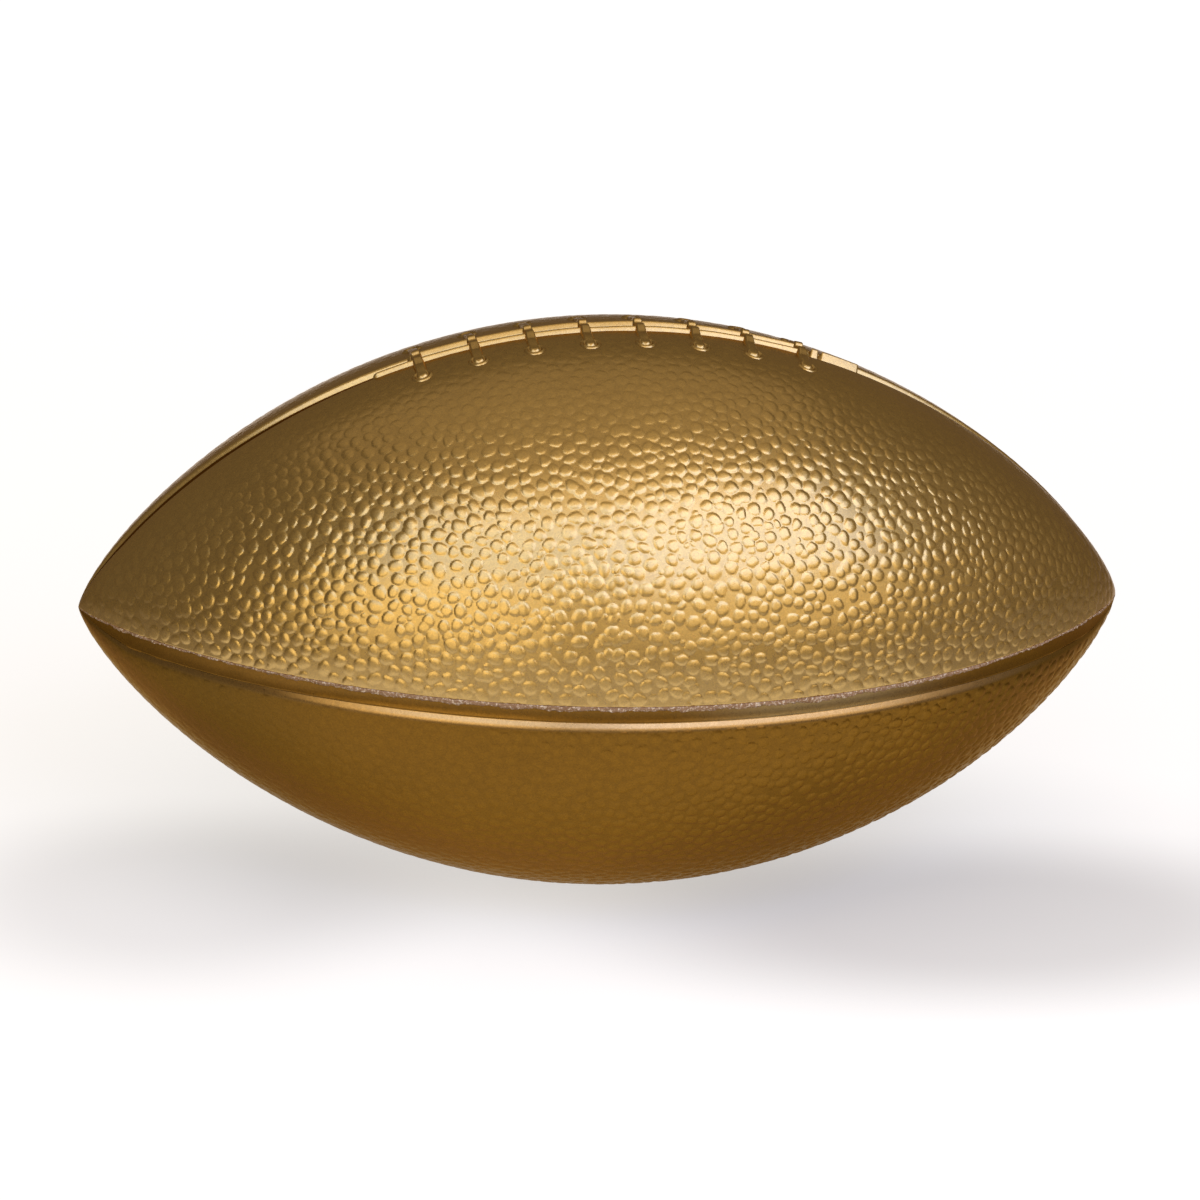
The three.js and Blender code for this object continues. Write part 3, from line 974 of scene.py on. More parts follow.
@dataclass
class CoverPanel(Piece):
    """One pebbled panel of the cover, from a seam to the next, as a closed shell."""

    LIP_COLUMNS: ClassVar[int] = 8
    INNER_COLUMNS: ClassVar[int] = 8
    # Bake map: where each band starts and how much of the map it takes; for the sides, the start, the step
    # to the second side and the height
    MAP_LENGTH: ClassVar[Span] = (0.01, 0.98)
    MAP_FACE: ClassVar[Span] = (0.01, 0.82)
    MAP_INSIDE: ClassVar[Span] = (0.85, 0.07)
    MAP_SIDES: ClassVar[tuple[float, float, float]] = (0.93, 0.06, 0.02)

    seam: Seam
    first: PanelEdge
    last: PanelEdge
    pebbles: Pebbles
    eyelet_side: int = 0
    has_valve: bool = False
    spacing: float = 0.455 * MM
    slope_probe: float = 0.1 * MM
    # Lips: how their columns close up to the foot, where the round shoulder ends, and their painted highlight
    lip_spacing_power: float = 1.3
    lip_knee: float = 0.58
    lip_highlight_share: float = 0.15
    lip_highlight_low: Span = (0.05, 0.6)
    highlight_stretch_rise: Span = (-92 * MM, -42 * MM)
    highlight_stretch_fall: Span = (58 * MM, 100 * MM)
    # Clear ground around the lips, eyelets and bars, where no pebble starts
    lip_overlap: float = 0.5 * MM
    eyelet_clear: float = 3.0 * MM
    bar_clear: float = 1.2 * MM
    # Pebbles sink towards the noses, and towards the lacing or the -X nose
    nose_sink: float = 0.4
    nose_sink_span: Span = (86 * MM, 116 * MM)
    lacing_share: float = 0.2
    lacing_span: Span = (14 * MM, 52 * MM)
    lower_share: float = 0.35
    lower_span: Span = (-70 * MM, 50 * MM)
    crown_share: float = 0.6
    # Recesses for the eyelets and the valve
    eyelet_recess: float = 0.8 * MM
    eyelet_wall: float = 0.5 * MM
    valve_dish_depth: float = 0.55 * MM
    valve_floor_radius: float = 3.9 * MM
    valve_dish_radius: float = 6.5 * MM

    def lay_rows(self) -> None:
        """Lays out the rows of vertices: a lip, the face and the other lip."""
        self.sweeps, self.marks, self.step = FORM.meridian(self.spacing)
        radius = FORM.face_radius(self.sweeps)
        self.first_foot = self.seam.value + self.first.foot(self.sweeps) / radius
        self.last_foot = self.seam.value + QUARTER_TURN - self.last.foot(self.sweeps) / radius
        self.first_lip = self.first_foot + self.first.lip_width(self.sweeps) / radius
        self.last_lip = self.last_foot - self.last.lip_width(self.sweeps) / radius
        self.width = (self.last_lip - self.first_lip) * radius
        self.face_counts = np.maximum(2, np.round(self.width / self.spacing)).astype(int)
        self.turn = (self.last_lip - self.first_lip) / self.face_counts
        self.counts = self.face_counts + 1 + 2 * self.LIP_COLUMNS
        self.starts = np.concatenate([[0], np.cumsum(self.counts)[:-1]])
        lip = np.linspace(0.0, 1.0, self.LIP_COLUMNS + 1)[:-1] ** self.lip_spacing_power
        angles = []
        for i in range(len(self.sweeps)):
            first = self.first_foot[i] + (self.first_lip[i] - self.first_foot[i]) * lip
            face = np.linspace(self.first_lip[i], self.last_lip[i], self.face_counts[i] + 1)
            last = self.last_foot[i] + (self.last_lip[i] - self.last_foot[i]) * lip[::-1]
            angles += [first, face, last]
        self.angle = np.concatenate(angles)
        self.sweep = np.repeat(self.sweeps, self.counts)

    def throw(self, draw: np.random.Generator, tries: int) -> Pair:
        """Random places on the face, even by area.

        Args:
            draw: Source of the random numbers.
            tries: How many places.

        Returns:
            Sweeps and angles of the places.
        """
        width, rows = np.cumsum(self.width), np.arange(len(self.width))
        row = np.interp(draw.random(tries) * width[-1], width, rows)
        share = draw.random(tries)
        sweep, first, last = (np.interp(row, rows, known)
                              for known in (self.sweeps, self.first_lip, self.last_lip))
        return sweep, first + (last - first) * share

    def edges(self, sweep: Array, angle: Array) -> list[tuple[PanelEdge, Array]]:
        """Both edges of the panel, each with the distances of places from its seam line.

        Args:
            sweep: Sweeps of the places.
            angle: Their angles.

        Returns:
            The first edge and the last one, with their distances.
        """
        radius, start = FORM.face_radius(sweep), self.seam.value
        return [(self.first, (angle - start) * radius), (self.last, (start + QUARTER_TURN - angle) * radius)]

    def room(self, sweep: Array, angle: Array, spots: Array) -> Array:
        """Clear distance from places to the panel's lips, eyelets, bars and valve.

        Args:
            sweep: Sweeps of the places.
            angle: Their angles.
            spots: Their points on the face.

        Returns:
            Distance for each place.
        """
        first, last = (away - edge.top(sweep) for edge, away in self.edges(sweep, angle))
        clear = np.minimum(first, last) + self.lip_overlap
        if self.eyelet_side:
            for middle in LACING.eyelets(self.eyelet_side):
                clear = np.minimum(clear, np.linalg.norm(spots - middle, axis=-1) - self.eyelet_clear)
            near_bar = np.min([abs(spots[..., 0] - x) for x in LACING.bars()], axis=0) - self.bar_clear
            beside = abs(spots[..., 1]) - LACING.eyelet_arc
            clear = np.minimum(clear, np.maximum(near_bar, beside))
        if self.has_valve:
            clear = np.minimum(clear, VALVE.from_middle(spots) - self.valve_dish_radius)
        return clear

    def pebble_share(self, spots: Array, angle: Array) -> Array:
        """Share of the full height that pebbles have.

        Args:
            spots: Points of the pebbles' middles.
            angle: Their angles.

        Returns:
            Share for each pebble.
        """
        share = 1.0 - self.nose_sink * smooth(*self.nose_sink_span, abs(spots[:, 0]))
        if self.eyelet_side:
            from_top = np.minimum(angle % FULL_TURN, -angle % FULL_TURN) * FORM.radius
            least, full = self.lacing_share, smooth(*self.lacing_span, from_top)
        else:
            least, full = self.lower_share, smooth(*self.lower_span, spots[:, 0])
        return share * (least + (1.0 - least) * full)

    def lips(self, sweep: Array, angle: Array) -> list[Array]:
        """How far into the first and the last lip places lie: 0 on the face, 1 at the lip's foot."""
        return [1.0 - np.clip((away - edge.foot(sweep)) / edge.lip_width(sweep), 0.0, 1.0)
                for edge, away in self.edges(sweep, angle)]

    def lip_fall(self, low: Array) -> Array:
        """Share of the channel's depth that a lip has fallen: a round shoulder, then a plain bevel."""
        knee = self.lip_knee
        return np.where(low < knee, low ** 2, 2.0 * knee * low - knee ** 2) / (2.0 * knee - knee ** 2)

    def height(self, sweep: Array, angle: Array) -> Pair:
        """Height of the face at the vertices, or at places a little beside them.

        Args:
            sweep: Sweep for each vertex.
            angle: Angle for each vertex.

        Returns:
            The full height, and the pebbles' part of it.
        """
        lips = zip((self.first, self.last), self.lips(sweep, angle))
        total = -sum(FORM.depth(sweep, edge.nose_share) * edge.fall * self.lip_fall(low)
                     for edge, low in lips)
        spots = FORM.point(sweep, angle, 0.0)
        if self.eyelet_side:
            edge = LACING.eyelet_radius
            for middle in LACING.eyelets(self.eyelet_side):
                away = np.linalg.norm(spots - middle, axis=-1)
                total -= self.eyelet_recess * (1.0 - smooth(edge, edge + self.eyelet_wall, away))
        if self.has_valve:
            dish = 1.0 - smooth(self.valve_floor_radius, self.valve_dish_radius, VALVE.from_middle(spots))
            total -= self.valve_dish_depth * dish
        bumps = self.pebbles.height_at(spots)
        return total + bumps, bumps

    def face_normals(self) -> Array:
        """Normals of the face, from the height a little to each side of its vertices.

        Returns:
            Unit vector for each vertex of the face.
        """
        out, along, around = FORM.ways(self.sweep, self.angle)
        sweep_step = self.slope_probe / np.hypot(*FORM.slope(self.sweep))
        angle_step = self.slope_probe / FORM.face_radius(self.sweep)
        climbs = []
        for turn, twist in ((sweep_step, 0.0), (0.0, angle_step)):
            ahead = self.height(self.sweep + turn, self.angle + twist)[0]
            behind = self.height(self.sweep - turn, self.angle - twist)[0]
            climbs.append((ahead - behind) / (2 * self.slope_probe))
        normal = out - climbs[0][:, None] * along - climbs[1][:, None] * around
        return normal / np.linalg.norm(normal, axis=-1, keepdims=True)

    def mesh(self) -> Pair:
        """Lays out the face, the inside and the tips at the noses, and joins them.

        Returns:
            Vertices and triangles.
        """
        self.lay_rows()
        self.pebbles.scatter(self)
        self.pebbles.near(self)
        height, self.bumps = self.height(self.sweep, self.angle)
        self.face = FORM.point(self.sweep, self.angle, height)
        across = np.linspace(0.0, 1.0, self.INNER_COLUMNS + 1)
        self.inner_angle = self.first_foot[:, None] + (self.last_foot - self.first_foot)[:, None] * across
        inner = FORM.inset(self.sweeps[:, None], self.inner_angle, FORM.cover).reshape(-1, 3)
        self.tips = np.array([[side * (FORM.half_length - depth), 0.0, 0.0]
                              for depth in (0.0, FORM.cover) for side in (-1, 1)])
        self.groups = self.triangles()
        return np.concatenate([self.face, inner, self.tips]), np.concatenate(self.groups)

    def triangles(self) -> list[Array]:
        """Joins the rows of vertices, with a tip as a row of one vertex beyond each end.

        Returns:
            Triangles of the face, of the inside and of the sides between them.
        """
        count, inside_start = len(self.sweeps), len(self.face)
        tip = inside_start + self.inner_angle.size
        inner_starts = inside_start + np.arange(count) * (self.INNER_COLUMNS + 1)
        rows = [(tip, 0, 0, tip + 2, 0),
                *zip(self.starts, [self.LIP_COLUMNS] * count, self.face_counts, inner_starts,
                     [self.INNER_COLUMNS] * count),
                (tip + 1, 0, 0, tip + 3, 0)]
        outside, inside, sides = [], [], []
        for (a, lip, face, low, wide), (b, next_lip, next_face, high, next_wide) in zip(rows, rows[1:]):
            outside += [stitch(a, lip, b, next_lip), stitch(a + lip, face, b + next_lip, next_face),
                        stitch(a + lip + face, lip, b + next_lip + next_face, next_lip)]
            inside.append(stitch(low, wide, high, next_wide)[:, ::-1])
            end, next_end = a + 2 * lip + face, b + 2 * next_lip + next_face
            sides += [(a, b, high), (a, high, low), (end, low + wide, high + next_wide),
                      (end, high + next_wide, next_end)]
        return [np.concatenate(outside), np.concatenate(inside), np.array(sides)]

    def add_layers(self, piece: Object) -> None:
        """Adds the panel's normals, the shares that its paint reads and its bake map.

        Args:
            piece: The panel.
        """
        inward = -FORM.ways(np.repeat(self.sweeps, self.INNER_COLUMNS + 1), self.inner_angle.ravel())[0]
        outward = self.tips / np.linalg.norm(self.tips, axis=-1, keepdims=True)
        normals = np.concatenate([self.face_normals(), inward, outward])
        piece.data.normals_split_custom_set_from_vertices(normals)
        # Painted highlight on the lips, strongest along a middle stretch of the ball
        highlight_stretch = on_stretch(self.highlight_stretch_rise, self.highlight_stretch_fall, self.face[:, 0])
        lip_highlight = smooth(*self.lip_highlight_low, np.maximum(*self.lips(self.sweep, self.angle)))
        hidden = np.zeros(len(inward) + len(outward))
        # Pebble height as a share, which the paint reads to lay painted shade on the ground between the
        # pebbles
        relief = np.clip(self.bumps / (self.crown_share * self.pebbles.height), 0.0, 1.0)
        add_share(piece, "relief", np.concatenate([relief, hidden]))
        lip_highlight = (self.lip_highlight_share + (1.0 - self.lip_highlight_share) * highlight_stretch) * lip_highlight
        add_share(piece, "lip", np.concatenate([lip_highlight, hidden]))
        self.lay_bake_map(piece)

    def lay_bake_map(self, piece: Object) -> None:
        """Unrolls the panel for a baked texture: the face, the inside and the sides in bands of their own.

        Args:
            piece: The panel.
        """
        length, tip = self.marks[-1] + self.step, len(self.face) + self.inner_angle.size
        along = np.concatenate([
            np.repeat(self.marks, self.counts), np.repeat(self.marks, self.INNER_COLUMNS + 1),
            [0.0, length, 0.0, length]]) / length
        turn = np.concatenate([self.angle, self.inner_angle.ravel(),
                               np.full(len(self.tips), self.seam.value + QUARTER_TURN / 2)])
        share = (turn - self.seam.value) / QUARTER_TURN
        inner = np.arange(len(along)) >= len(self.face)
        inner[tip:tip + 2] = False
        far = share > 0.5
        along = self.MAP_LENGTH[0] + self.MAP_LENGTH[1] * along
        bands = [self.MAP_FACE[0] + self.MAP_FACE[1] * share, self.MAP_INSIDE[0] + self.MAP_INSIDE[1] * share,
                 self.MAP_SIDES[0] + self.MAP_SIDES[1] * far + self.MAP_SIDES[2] * inner]
        corners = [np.stack([along[g], band[g]], axis=-1) for g, band in zip(self.groups, bands)]
        layer = piece.data.uv_layers.new(name=BAKE_MAP)
        layer.data.foreach_set("uv", np.concatenate(corners).astype(np.float32).ravel())


@dataclass
class SeamStrip(Piece):
    """Smooth strip on the floor of a seam channel, between two distances from the seam line.

    On its rim side, 1 for its end and -1 for its start, it curves up to the foot of a lower panel's lip. A
    parting channel's strip gets a painted highlight, a paler colour along a stretch on the +X side.
    """

    seam: Seam
    start: float
    end: float
    rim_side: int = 0
    spacing: float = 0.9 * MM
    columns: int = 10
    dish: float = 0.1 * MM
    wave: float = 0.03 * MM
    wave_size: float = 9 * MM
    wave_seed: int = 5
    tuck: float = 0.1 * MM
    curl_lead: float = 0.3
    # Painted highlight along a stretch of a parting channel's strip
    highlight_stretch_share: float = 0.55
    highlight_stretch_rise: Span = (0.0, 30 * MM)
    highlight_stretch_fall: Span = (44 * MM, 76 * MM)

    def mesh(self) -> Pair:
        """Lays out the strip's floor and its underside.

        Returns:
            Vertices and quads.
        """
        self.sweep = sweep = FORM.meridian(self.spacing)[0][:, None]
        share = FORM.channel_share(sweep)
        across = np.linspace(-1.0, 1.0, self.columns + 1)
        first, last = (self.start - self.tuck) * share, (self.end + self.tuck) * share
        angle = self.seam.value + (first + (last - first) * (across + 1.0) / 2.0) / FORM.face_radius(sweep)
        uneven = self.wave * ripple(FORM.point(sweep, angle, 0.0), self.wave_size, self.wave_seed)
        rim = PARTING_LOWER_EDGE if self.rim_side else CENTRED_EDGE
        curl = np.clip((self.rim_side * across + self.curl_lead) / (1.0 + self.curl_lead), 0.0, None) ** 2
        lifted = 1.0 - abs(self.rim_side) * (1.0 - rim.fall) * curl
        sag = self.dish * (1.0 - across ** 2) - uneven
        floor = -FORM.depth(sweep, rim.nose_share) * lifted - sag * share
        return closed_slab(FORM.point(sweep, angle, floor), FORM.inset(sweep, angle, FORM.cover))

    def add_layers(self, piece: Object) -> None:
        """Marks the stretch of a parting channel's strip that gets a painted highlight.

        Args:
            piece: The strip.
        """
        if self.rim_side:
            x = np.repeat(FORM.x_at(self.sweep[:, 0]), self.columns + 1)
            highlight_stretch = self.highlight_stretch_share * on_stretch(self.highlight_stretch_rise, self.highlight_stretch_fall, x)
            add_share(piece, "lip", np.tile(highlight_stretch, 2))


@dataclass
class MouldFlash(Piece):
    """Rough remains of the mould's flash under an upper panel's lower edge, trimmed by hand."""

    IS_NODE: ClassVar[bool] = False
    # The ring's corners: how far below the edge, as a share of the thickness, and how far out
    BELOW: ClassVar[tuple[float, ...]] = (0.0, 0.02, 0.3, 0.65, 0.95, 1.0, 0.9, 0.1)
    OUT: ClassVar[tuple[float, ...]] = (-1.0, 0.6, 1.0, 1.0, 0.7, 0.0, -1.0, -1.0)

    seam: Seam
    side: int
    spacing: float = 0.33 * MM
    thickness: float = 0.98 * MM
    nose_thickness: float = 0.42 * MM
    nose_span: Span = (50 * MM, 95 * MM)
    taper_radius: float = 5 * MM
    lift: float = 0.36 * MM
    proud: float = 0.1 * MM
    rooted: float = 0.9 * MM
    rough: float = 0.13 * MM
    fine_size: float = 0.9 * MM
    fine_shift: float = 3 * MM
    fine_seed: int = 21
    fine_share: float = 0.7
    broad_size: float = 7 * MM
    broad_seed: int = 22
    broad_share: float = 0.5
    broad_swell: float = 0.2

    def mesh(self) -> Pair:
        """Lays out the flash as a rough tube along the parting line.

        Returns:
            Vertices and quads.
        """
        sweep = FORM.meridian(self.spacing)[0][:, None]
        share = np.minimum(1.0, FORM.face_radius(sweep) / self.taper_radius)
        below, out = np.array(self.BELOW), np.array(self.OUT)
        middle = FORM.point(sweep, self.seam.value, 0.0)
        fine = ripple(middle + below[None, :, None] * self.fine_shift, self.fine_size, self.fine_seed)
        broad = ripple(middle, self.broad_size, self.broad_seed)
        thin = smooth(*self.nose_span, abs(middle[..., 0]))
        thick = self.thickness + (self.nose_thickness - self.thickness) * thin
        thick = thick * (1.0 + self.broad_swell * broad) + self.rough * fine
        distance = (below * thick - self.lift) * share
        torn = self.rough * (self.fine_share * fine + self.broad_share * broad)
        edge = np.where(out > 0, self.proud * out + torn, self.rooted * out)
        angle = self.seam.value + self.side * distance / FORM.face_radius(sweep)
        return closed_tube(FORM.point(sweep, angle, edge * share)[:, ::self.side])


# Lacing

@dataclass
class LaceRail(Piece):
    """Raised lacing rail along the top channel: flat flanks, a narrow round crown and rounded ends."""

    # Half of the section in millimetres, from the crown down a flank: distance from the middle, and height
    FLANK: ClassVar[tuple[Span, ...]] = (
        (0.0, 0.86), (0.08, 0.855), (0.16, 0.83), (0.26, 0.75), (0.4, 0.57), (0.55, 0.36), (0.7, 0.15),
        (0.85, -0.06), (0.95, -0.22), (1.0, -0.5), (1.0, -1.2))

    start: float
    end: float
    side: int
    spacing: float = 0.3 * MM
    crown_flat: float = 0.03 * MM
    sunk: float = 0.3 * MM
    end_round: float = 1.3 * MM
    end_least: float = 0.02
    wave: float = 0.05 * MM
    wave_size: float = 11 * MM
    wave_seed: int = 31
    sway: float = 0.5

    def mesh(self) -> Pair:
        """Lays out the rail as a tube whose section shrinks at its ends.

        Returns:
            Vertices and quads.
        """
        count = round((self.end - self.start) / self.spacing)
        x = np.linspace(self.start, self.end, count + 1)[:, None]
        from_end = np.minimum(np.minimum(x - self.start, self.end - x) / self.end_round, 1.0)
        share = np.sqrt(np.clip(1.0 - (1.0 - from_end) ** 2, self.end_least, 1.0))
        front = np.array(self.FLANK) * MM
        crown = front[:1] - [self.crown_flat, 0.0]
        across, rise = np.concatenate([front, front[:0:-1] * [-1.0, 1.0], crown]).T
        sweep = FORM.sweep_at(x)
        uneven = self.wave * ripple(FORM.point(sweep, 0.0, 0.0), self.wave_size, self.wave_seed)
        arc = self.side * LACING.rail_arc + across * share + self.sway * uneven
        height = np.where(rise > -self.sunk, (rise + self.sunk) * share - self.sunk, rise)
        return closed_tube(FORM.point(sweep, arc / FORM.face_radius(sweep), height + uneven))


@dataclass
class LaceEndTab(Piece):
    """Wedge that ends the lacing: its flat face slopes down to the front, and a notch divides it."""

    start: float
    end: float
    columns: int = 26
    spacing: float = 0.2 * MM
    front_arc: float = -0.2 * MM
    ridge_arc: float = -1.9 * MM
    ridge_round: float = 0.3 * MM
    rear_arc: float = -3.4 * MM
    floor: float = -1.25 * MM
    rooted: float = 0.4 * MM
    ridge: float = 0.95 * MM
    ridge_flat: float = 0.94
    notch: float = 2.6 * MM
    notch_width: float = 0.5 * MM
    notch_floor: float = 0.2
    notch_share: float = 0.45
    end_round: float = 0.7 * MM

    def mesh(self) -> Pair:
        """Lays out the tab's top and its underside.

        Returns:
            Vertices and quads.
        """
        count = round((self.end - self.start) / self.spacing)
        x = np.linspace(self.start, self.end, count + 1)[:, None]
        arc = np.linspace(self.rear_arc, self.front_arc, self.columns + 1)
        steepness = (self.floor - self.ridge) / (self.front_arc - self.ridge_arc)
        slope = self.ridge + steepness * (arc - self.ridge_arc)
        back = self.ridge * smooth(self.rear_arc, self.ridge_arc + self.ridge_round, arc)
        face = np.minimum(slope, np.where(arc < self.ridge_arc, back, self.ridge * self.ridge_flat))
        shut = smooth(0.0, self.end_round, np.minimum(x - self.start, self.end - x))
        cut = smooth(self.notch_floor * self.notch_width, self.notch_width, abs(x - self.start - self.notch))
        height = self.floor + (face - self.floor) * shut * (self.notch_share + (1.0 - self.notch_share) * cut)
        sweep = FORM.sweep_at(x)
        angle = arc / FORM.face_radius(sweep)
        outer, inner = (FORM.point(sweep, angle, level) for level in (height, self.floor - self.rooted))
        return closed_slab(outer, inner)


@dataclass
class LaceBar(Piece):
    """Lace bar across the rails. Each end dips into a round eyelet with a raised rim.

    Spans are distances from the top seam, unless a comment says otherwise.
    """

    x: float
    seed: int
    rows: int = 44
    columns: int = 216
    # The bar's section, and the heights of its ridge over the rails, beside them and at its ends
    half_width: float = 1.6 * MM
    shoulder: float = 0.9 * MM
    side_fillet: float = 0.2 * MM
    crest: float = 1.45 * MM
    thickness: float = 0.62 * MM
    end_thickness: float = 0.3 * MM
    # Between the rails it sags, over a span in shares of the rails' distance, and then drapes past them
    hollow: float = 0.75 * MM
    hollow_span: Span = (0.4, 0.82)
    drape: Span = (0.3 * MM, 2.9 * MM)
    thin_start: float = 5 * MM
    # Each end's place, and the distances from it at which the bar thins, dips and rounds off
    end_arc: float = 10.3 * MM
    thin_stop: float = 0.9 * MM
    dip: Span = (-0.8 * MM, 0.3 * MM)
    dip_depth: float = 0.3 * MM
    end_round: float = 1.3 * MM
    end_round_run: float = 1.35 * MM
    # Roots in the channel and on the panels
    channel_root: float = -1.3 * MM
    panel_root: float = -0.5 * MM
    root_span: Span = (2.5 * MM, 4.5 * MM)
    # Eyelets, which are only drawn beyond their start
    eyelet_start: float = 6 * MM
    eyelet_floor: float = 0.8 * MM
    rim_height: float = 0.28 * MM
    rim_slope: float = 0.85 * MM
    rim_sunk: float = 0.3 * MM
    dimple: float = 0.3 * MM
    below: float = -1.2 * MM
    # The sheet that carries both, with its margins and its underside
    reach: float = 13.0 * MM
    disc_margin: float = 0.1 * MM
    bar_margin: float = 0.3 * MM
    least_spread: float = 0.25 * MM
    under_end: float = 4 * MM
    channel_under: float = -1.75 * MM
    panel_under: float = -1.25 * MM
    least_wall: float = 0.1 * MM
    wave: float = 0.05 * MM
    wave_size: float = 4 * MM

    def bar_height(self, arc: Array, across: Array) -> Array:
        """Height of the bar itself, which drapes over the rails and rounds down at its ends.

        Args:
            arc: Distances from the top seam, to either side.
            across: Distances from the bar's middle line.

        Returns:
            Heights, well below the face beside the bar.
        """
        rail = LACING.rail_arc
        sag, drape = (np.array(self.hollow_span) * rail, np.array(self.drape) + rail)
        ridge = self.crest + (self.thickness - self.crest) * smooth(*drape, arc)
        ridge = ridge - self.hollow * (1.0 - smooth(*sag, arc))
        thinned = smooth(self.thin_start, self.end_arc - self.thin_stop, arc)
        ridge = ridge - (self.thickness - self.end_thickness) * thinned
        ridge = ridge - (self.end_thickness + self.dip_depth) * smooth(*self.dip, arc - self.end_arc)
        past = np.clip((arc - self.end_arc + self.end_round) / self.end_round_run, 0.0, 1.0)
        half_width = self.half_width * np.sqrt(1.0 - past ** 2)
        side = 1.0 - smooth(half_width - self.shoulder, half_width + self.side_fillet, across)
        root = self.channel_root + (self.panel_root - self.channel_root) * smooth(*self.root_span, arc)
        return root + (ridge - root) * side

    def eyelet_height(self, away: Array) -> Array:
        """Height of an eyelet: a dimple, a rim and the slope from the rim down into the cover.

        Args:
            away: Distances from the eyelet's middle.

        Returns:
            Height for each distance.
        """
        radius = LACING.eyelet_radius
        climb = smooth(radius - self.eyelet_floor, radius, away)
        dimple = (self.dimple + self.rim_height) * climb - self.dimple
        slope = (self.rim_height + self.rim_sunk) * smooth(radius, radius + self.rim_slope, away)
        return np.where(away < radius, dimple, self.rim_height - slope)

    def mesh(self) -> Pair:
        """Lays out the bar with its eyelets as one closed sheet.

        Returns:
            Vertices and quads.
        """
        arc = np.linspace(-self.reach, self.reach, self.columns + 1)[None, :]
        from_seam = abs(arc)
        from_eyelet = from_seam - LACING.eyelet_arc
        full = LACING.eyelet_radius + self.rim_slope + self.disc_margin
        disc = np.sqrt(np.clip(full ** 2 - from_eyelet ** 2, 0.0, None))
        bar = np.where(from_seam < self.end_arc, self.half_width + self.bar_margin, self.least_spread)
        across = np.linspace(-1.0, 1.0, self.rows + 1)[:, None] * np.maximum(disc, bar)
        ring = self.eyelet_height(np.hypot(from_eyelet, across))
        ring = np.where(from_seam > self.eyelet_start, ring, self.below)
        height = np.maximum(self.bar_height(from_seam, abs(across)), ring)
        sweep = FORM.sweep_at(self.x + across)
        angle = arc / FORM.face_radius(sweep)
        height = height + self.wave * ripple(FORM.point(sweep, angle, 0.0), self.wave_size, self.seed)
        low = np.where(from_seam < self.under_end, self.channel_under, self.panel_under)
        outer = FORM.point(sweep, angle, np.maximum(height, low + self.least_wall))
        return closed_slab(outer, FORM.point(sweep, angle, low))


# Valve pieces

@dataclass
class TurnedRubber(Piece):
    """Rubber piece of the valve, turned about the valve's axis.

    Its profile has radii and places along the axis, anticlockwise with the axis up.
    """

    profile: list[Span]
    segments: int = 72

    def mesh(self) -> Pair:
        """Turns the profile.

        Returns:
            Vertices and quads.
        """
        out, first = VALVE.axis(), np.array([1.0, 0.0, 0.0])
        second = np.cross(out, first)
        turn = np.linspace(0.0, FULL_TURN, self.segments, endpoint=False)[:, None, None]
        radius, along = np.array(self.profile).T[:, None, :, None]
        points = along * out + radius * (np.cos(turn) * first + np.sin(turn) * second)
        grid = np.arange(self.segments * len(self.profile)).reshape(self.segments, -1)
        grid = np.concatenate([grid, grid[:1]], axis=0)
        grid = np.concatenate([grid, grid[:, :1]], axis=1)
        return points.reshape(-1, 3), grid_faces(grid)[:, ::-1]


# Studio

@dataclass(frozen=True)
class SoftLamp:
    """Soft box aimed at the ball; azimuth 0 is in front, and 90 is at the +X nose."""

    name: str
    azimuth: float
    elevation: float
    distance: float
    width: float
    height: float
    brightness: float
    colour: str

    def build(self) -> None:
        """Builds the lamp, whose face is as bright as its brightness says."""
        data = bpy.data.lights.new(self.name, "AREA")
        data.shape = "RECTANGLE"
        data.size, data.size_y = self.width, self.height
        data.energy = self.brightness * math.pi * self.width * self.height
        data.color = linear(self.colour)[:3]
        lamp = bpy.data.objects.new(self.name, data)
        way = aim(self.azimuth, self.elevation)
        lamp.location = way * self.distance
        lamp.rotation_euler = way.to_track_quat("Z", "Y").to_euler()
        bpy.context.scene.collection.objects.link(lamp)


@dataclass(frozen=True)
class PhotoCamera:
    """Camera at the photo's viewing angle, for a square picture."""

    picture: float = 1200.0
    focal_pixels: float = 3712.0
    centre_pixel: Span = (609.5, 599.0)
    distance: float = 850 * MM
    azimuth: float = -10.8
    elevation: float = 20.9
    roll: float = 3.05
    sensor: float = 36.0
    clip: Span = (0.05, 50.0)

    def build(self) -> None:
        """Builds the camera and makes it the scene's own."""
        data = bpy.data.cameras.new("photo_camera")
        data.sensor_width = self.sensor
        data.lens = self.focal_pixels / self.picture * self.sensor
        data.shift_x = (self.picture / 2 - self.centre_pixel[0]) / self.picture
        data.shift_y = (self.centre_pixel[1] - self.picture / 2) / self.picture
        data.clip_start, data.clip_end = self.clip
        camera = bpy.data.objects.new("photo_camera", data)
        back = aim(self.azimuth, self.elevation)
        camera.location = back * self.distance
        look = (-back).to_track_quat("-Z", "Y").to_matrix()
        camera.rotation_euler = (look @ Matrix.Rotation(math.radians(self.roll), 3, "Z")).to_euler()
        bpy.context.scene.collection.objects.link(camera)
        bpy.context.scene.camera = camera


@dataclass(frozen=True)
class FloorShade:
    """Soft shade on the floor under the ball: its middle, its reach along X and Y, and the light left."""

    middle: Span
    reach: Span
    share: float

    def distance(self, tree: NodeTree, place: NodeSocket) -> Node:
        """Distance from the shade's middle, in shares of its reach.

        Args:
            tree: Node tree of the floor's material.
            place: Places on the floor.

        Returns:
            Node of the distance.
        """
        reach = (1 / self.reach[0], 1 / self.reach[1], 0.0)
        shift = (-self.middle[0] * reach[0], -self.middle[1] * reach[1], 0.0)
        under = add_node(tree, "VectorMath", [place, reach, shift], operation="MULTIPLY_ADD")
        return add_node(tree, "VectorMath", [under], operation="LENGTH")


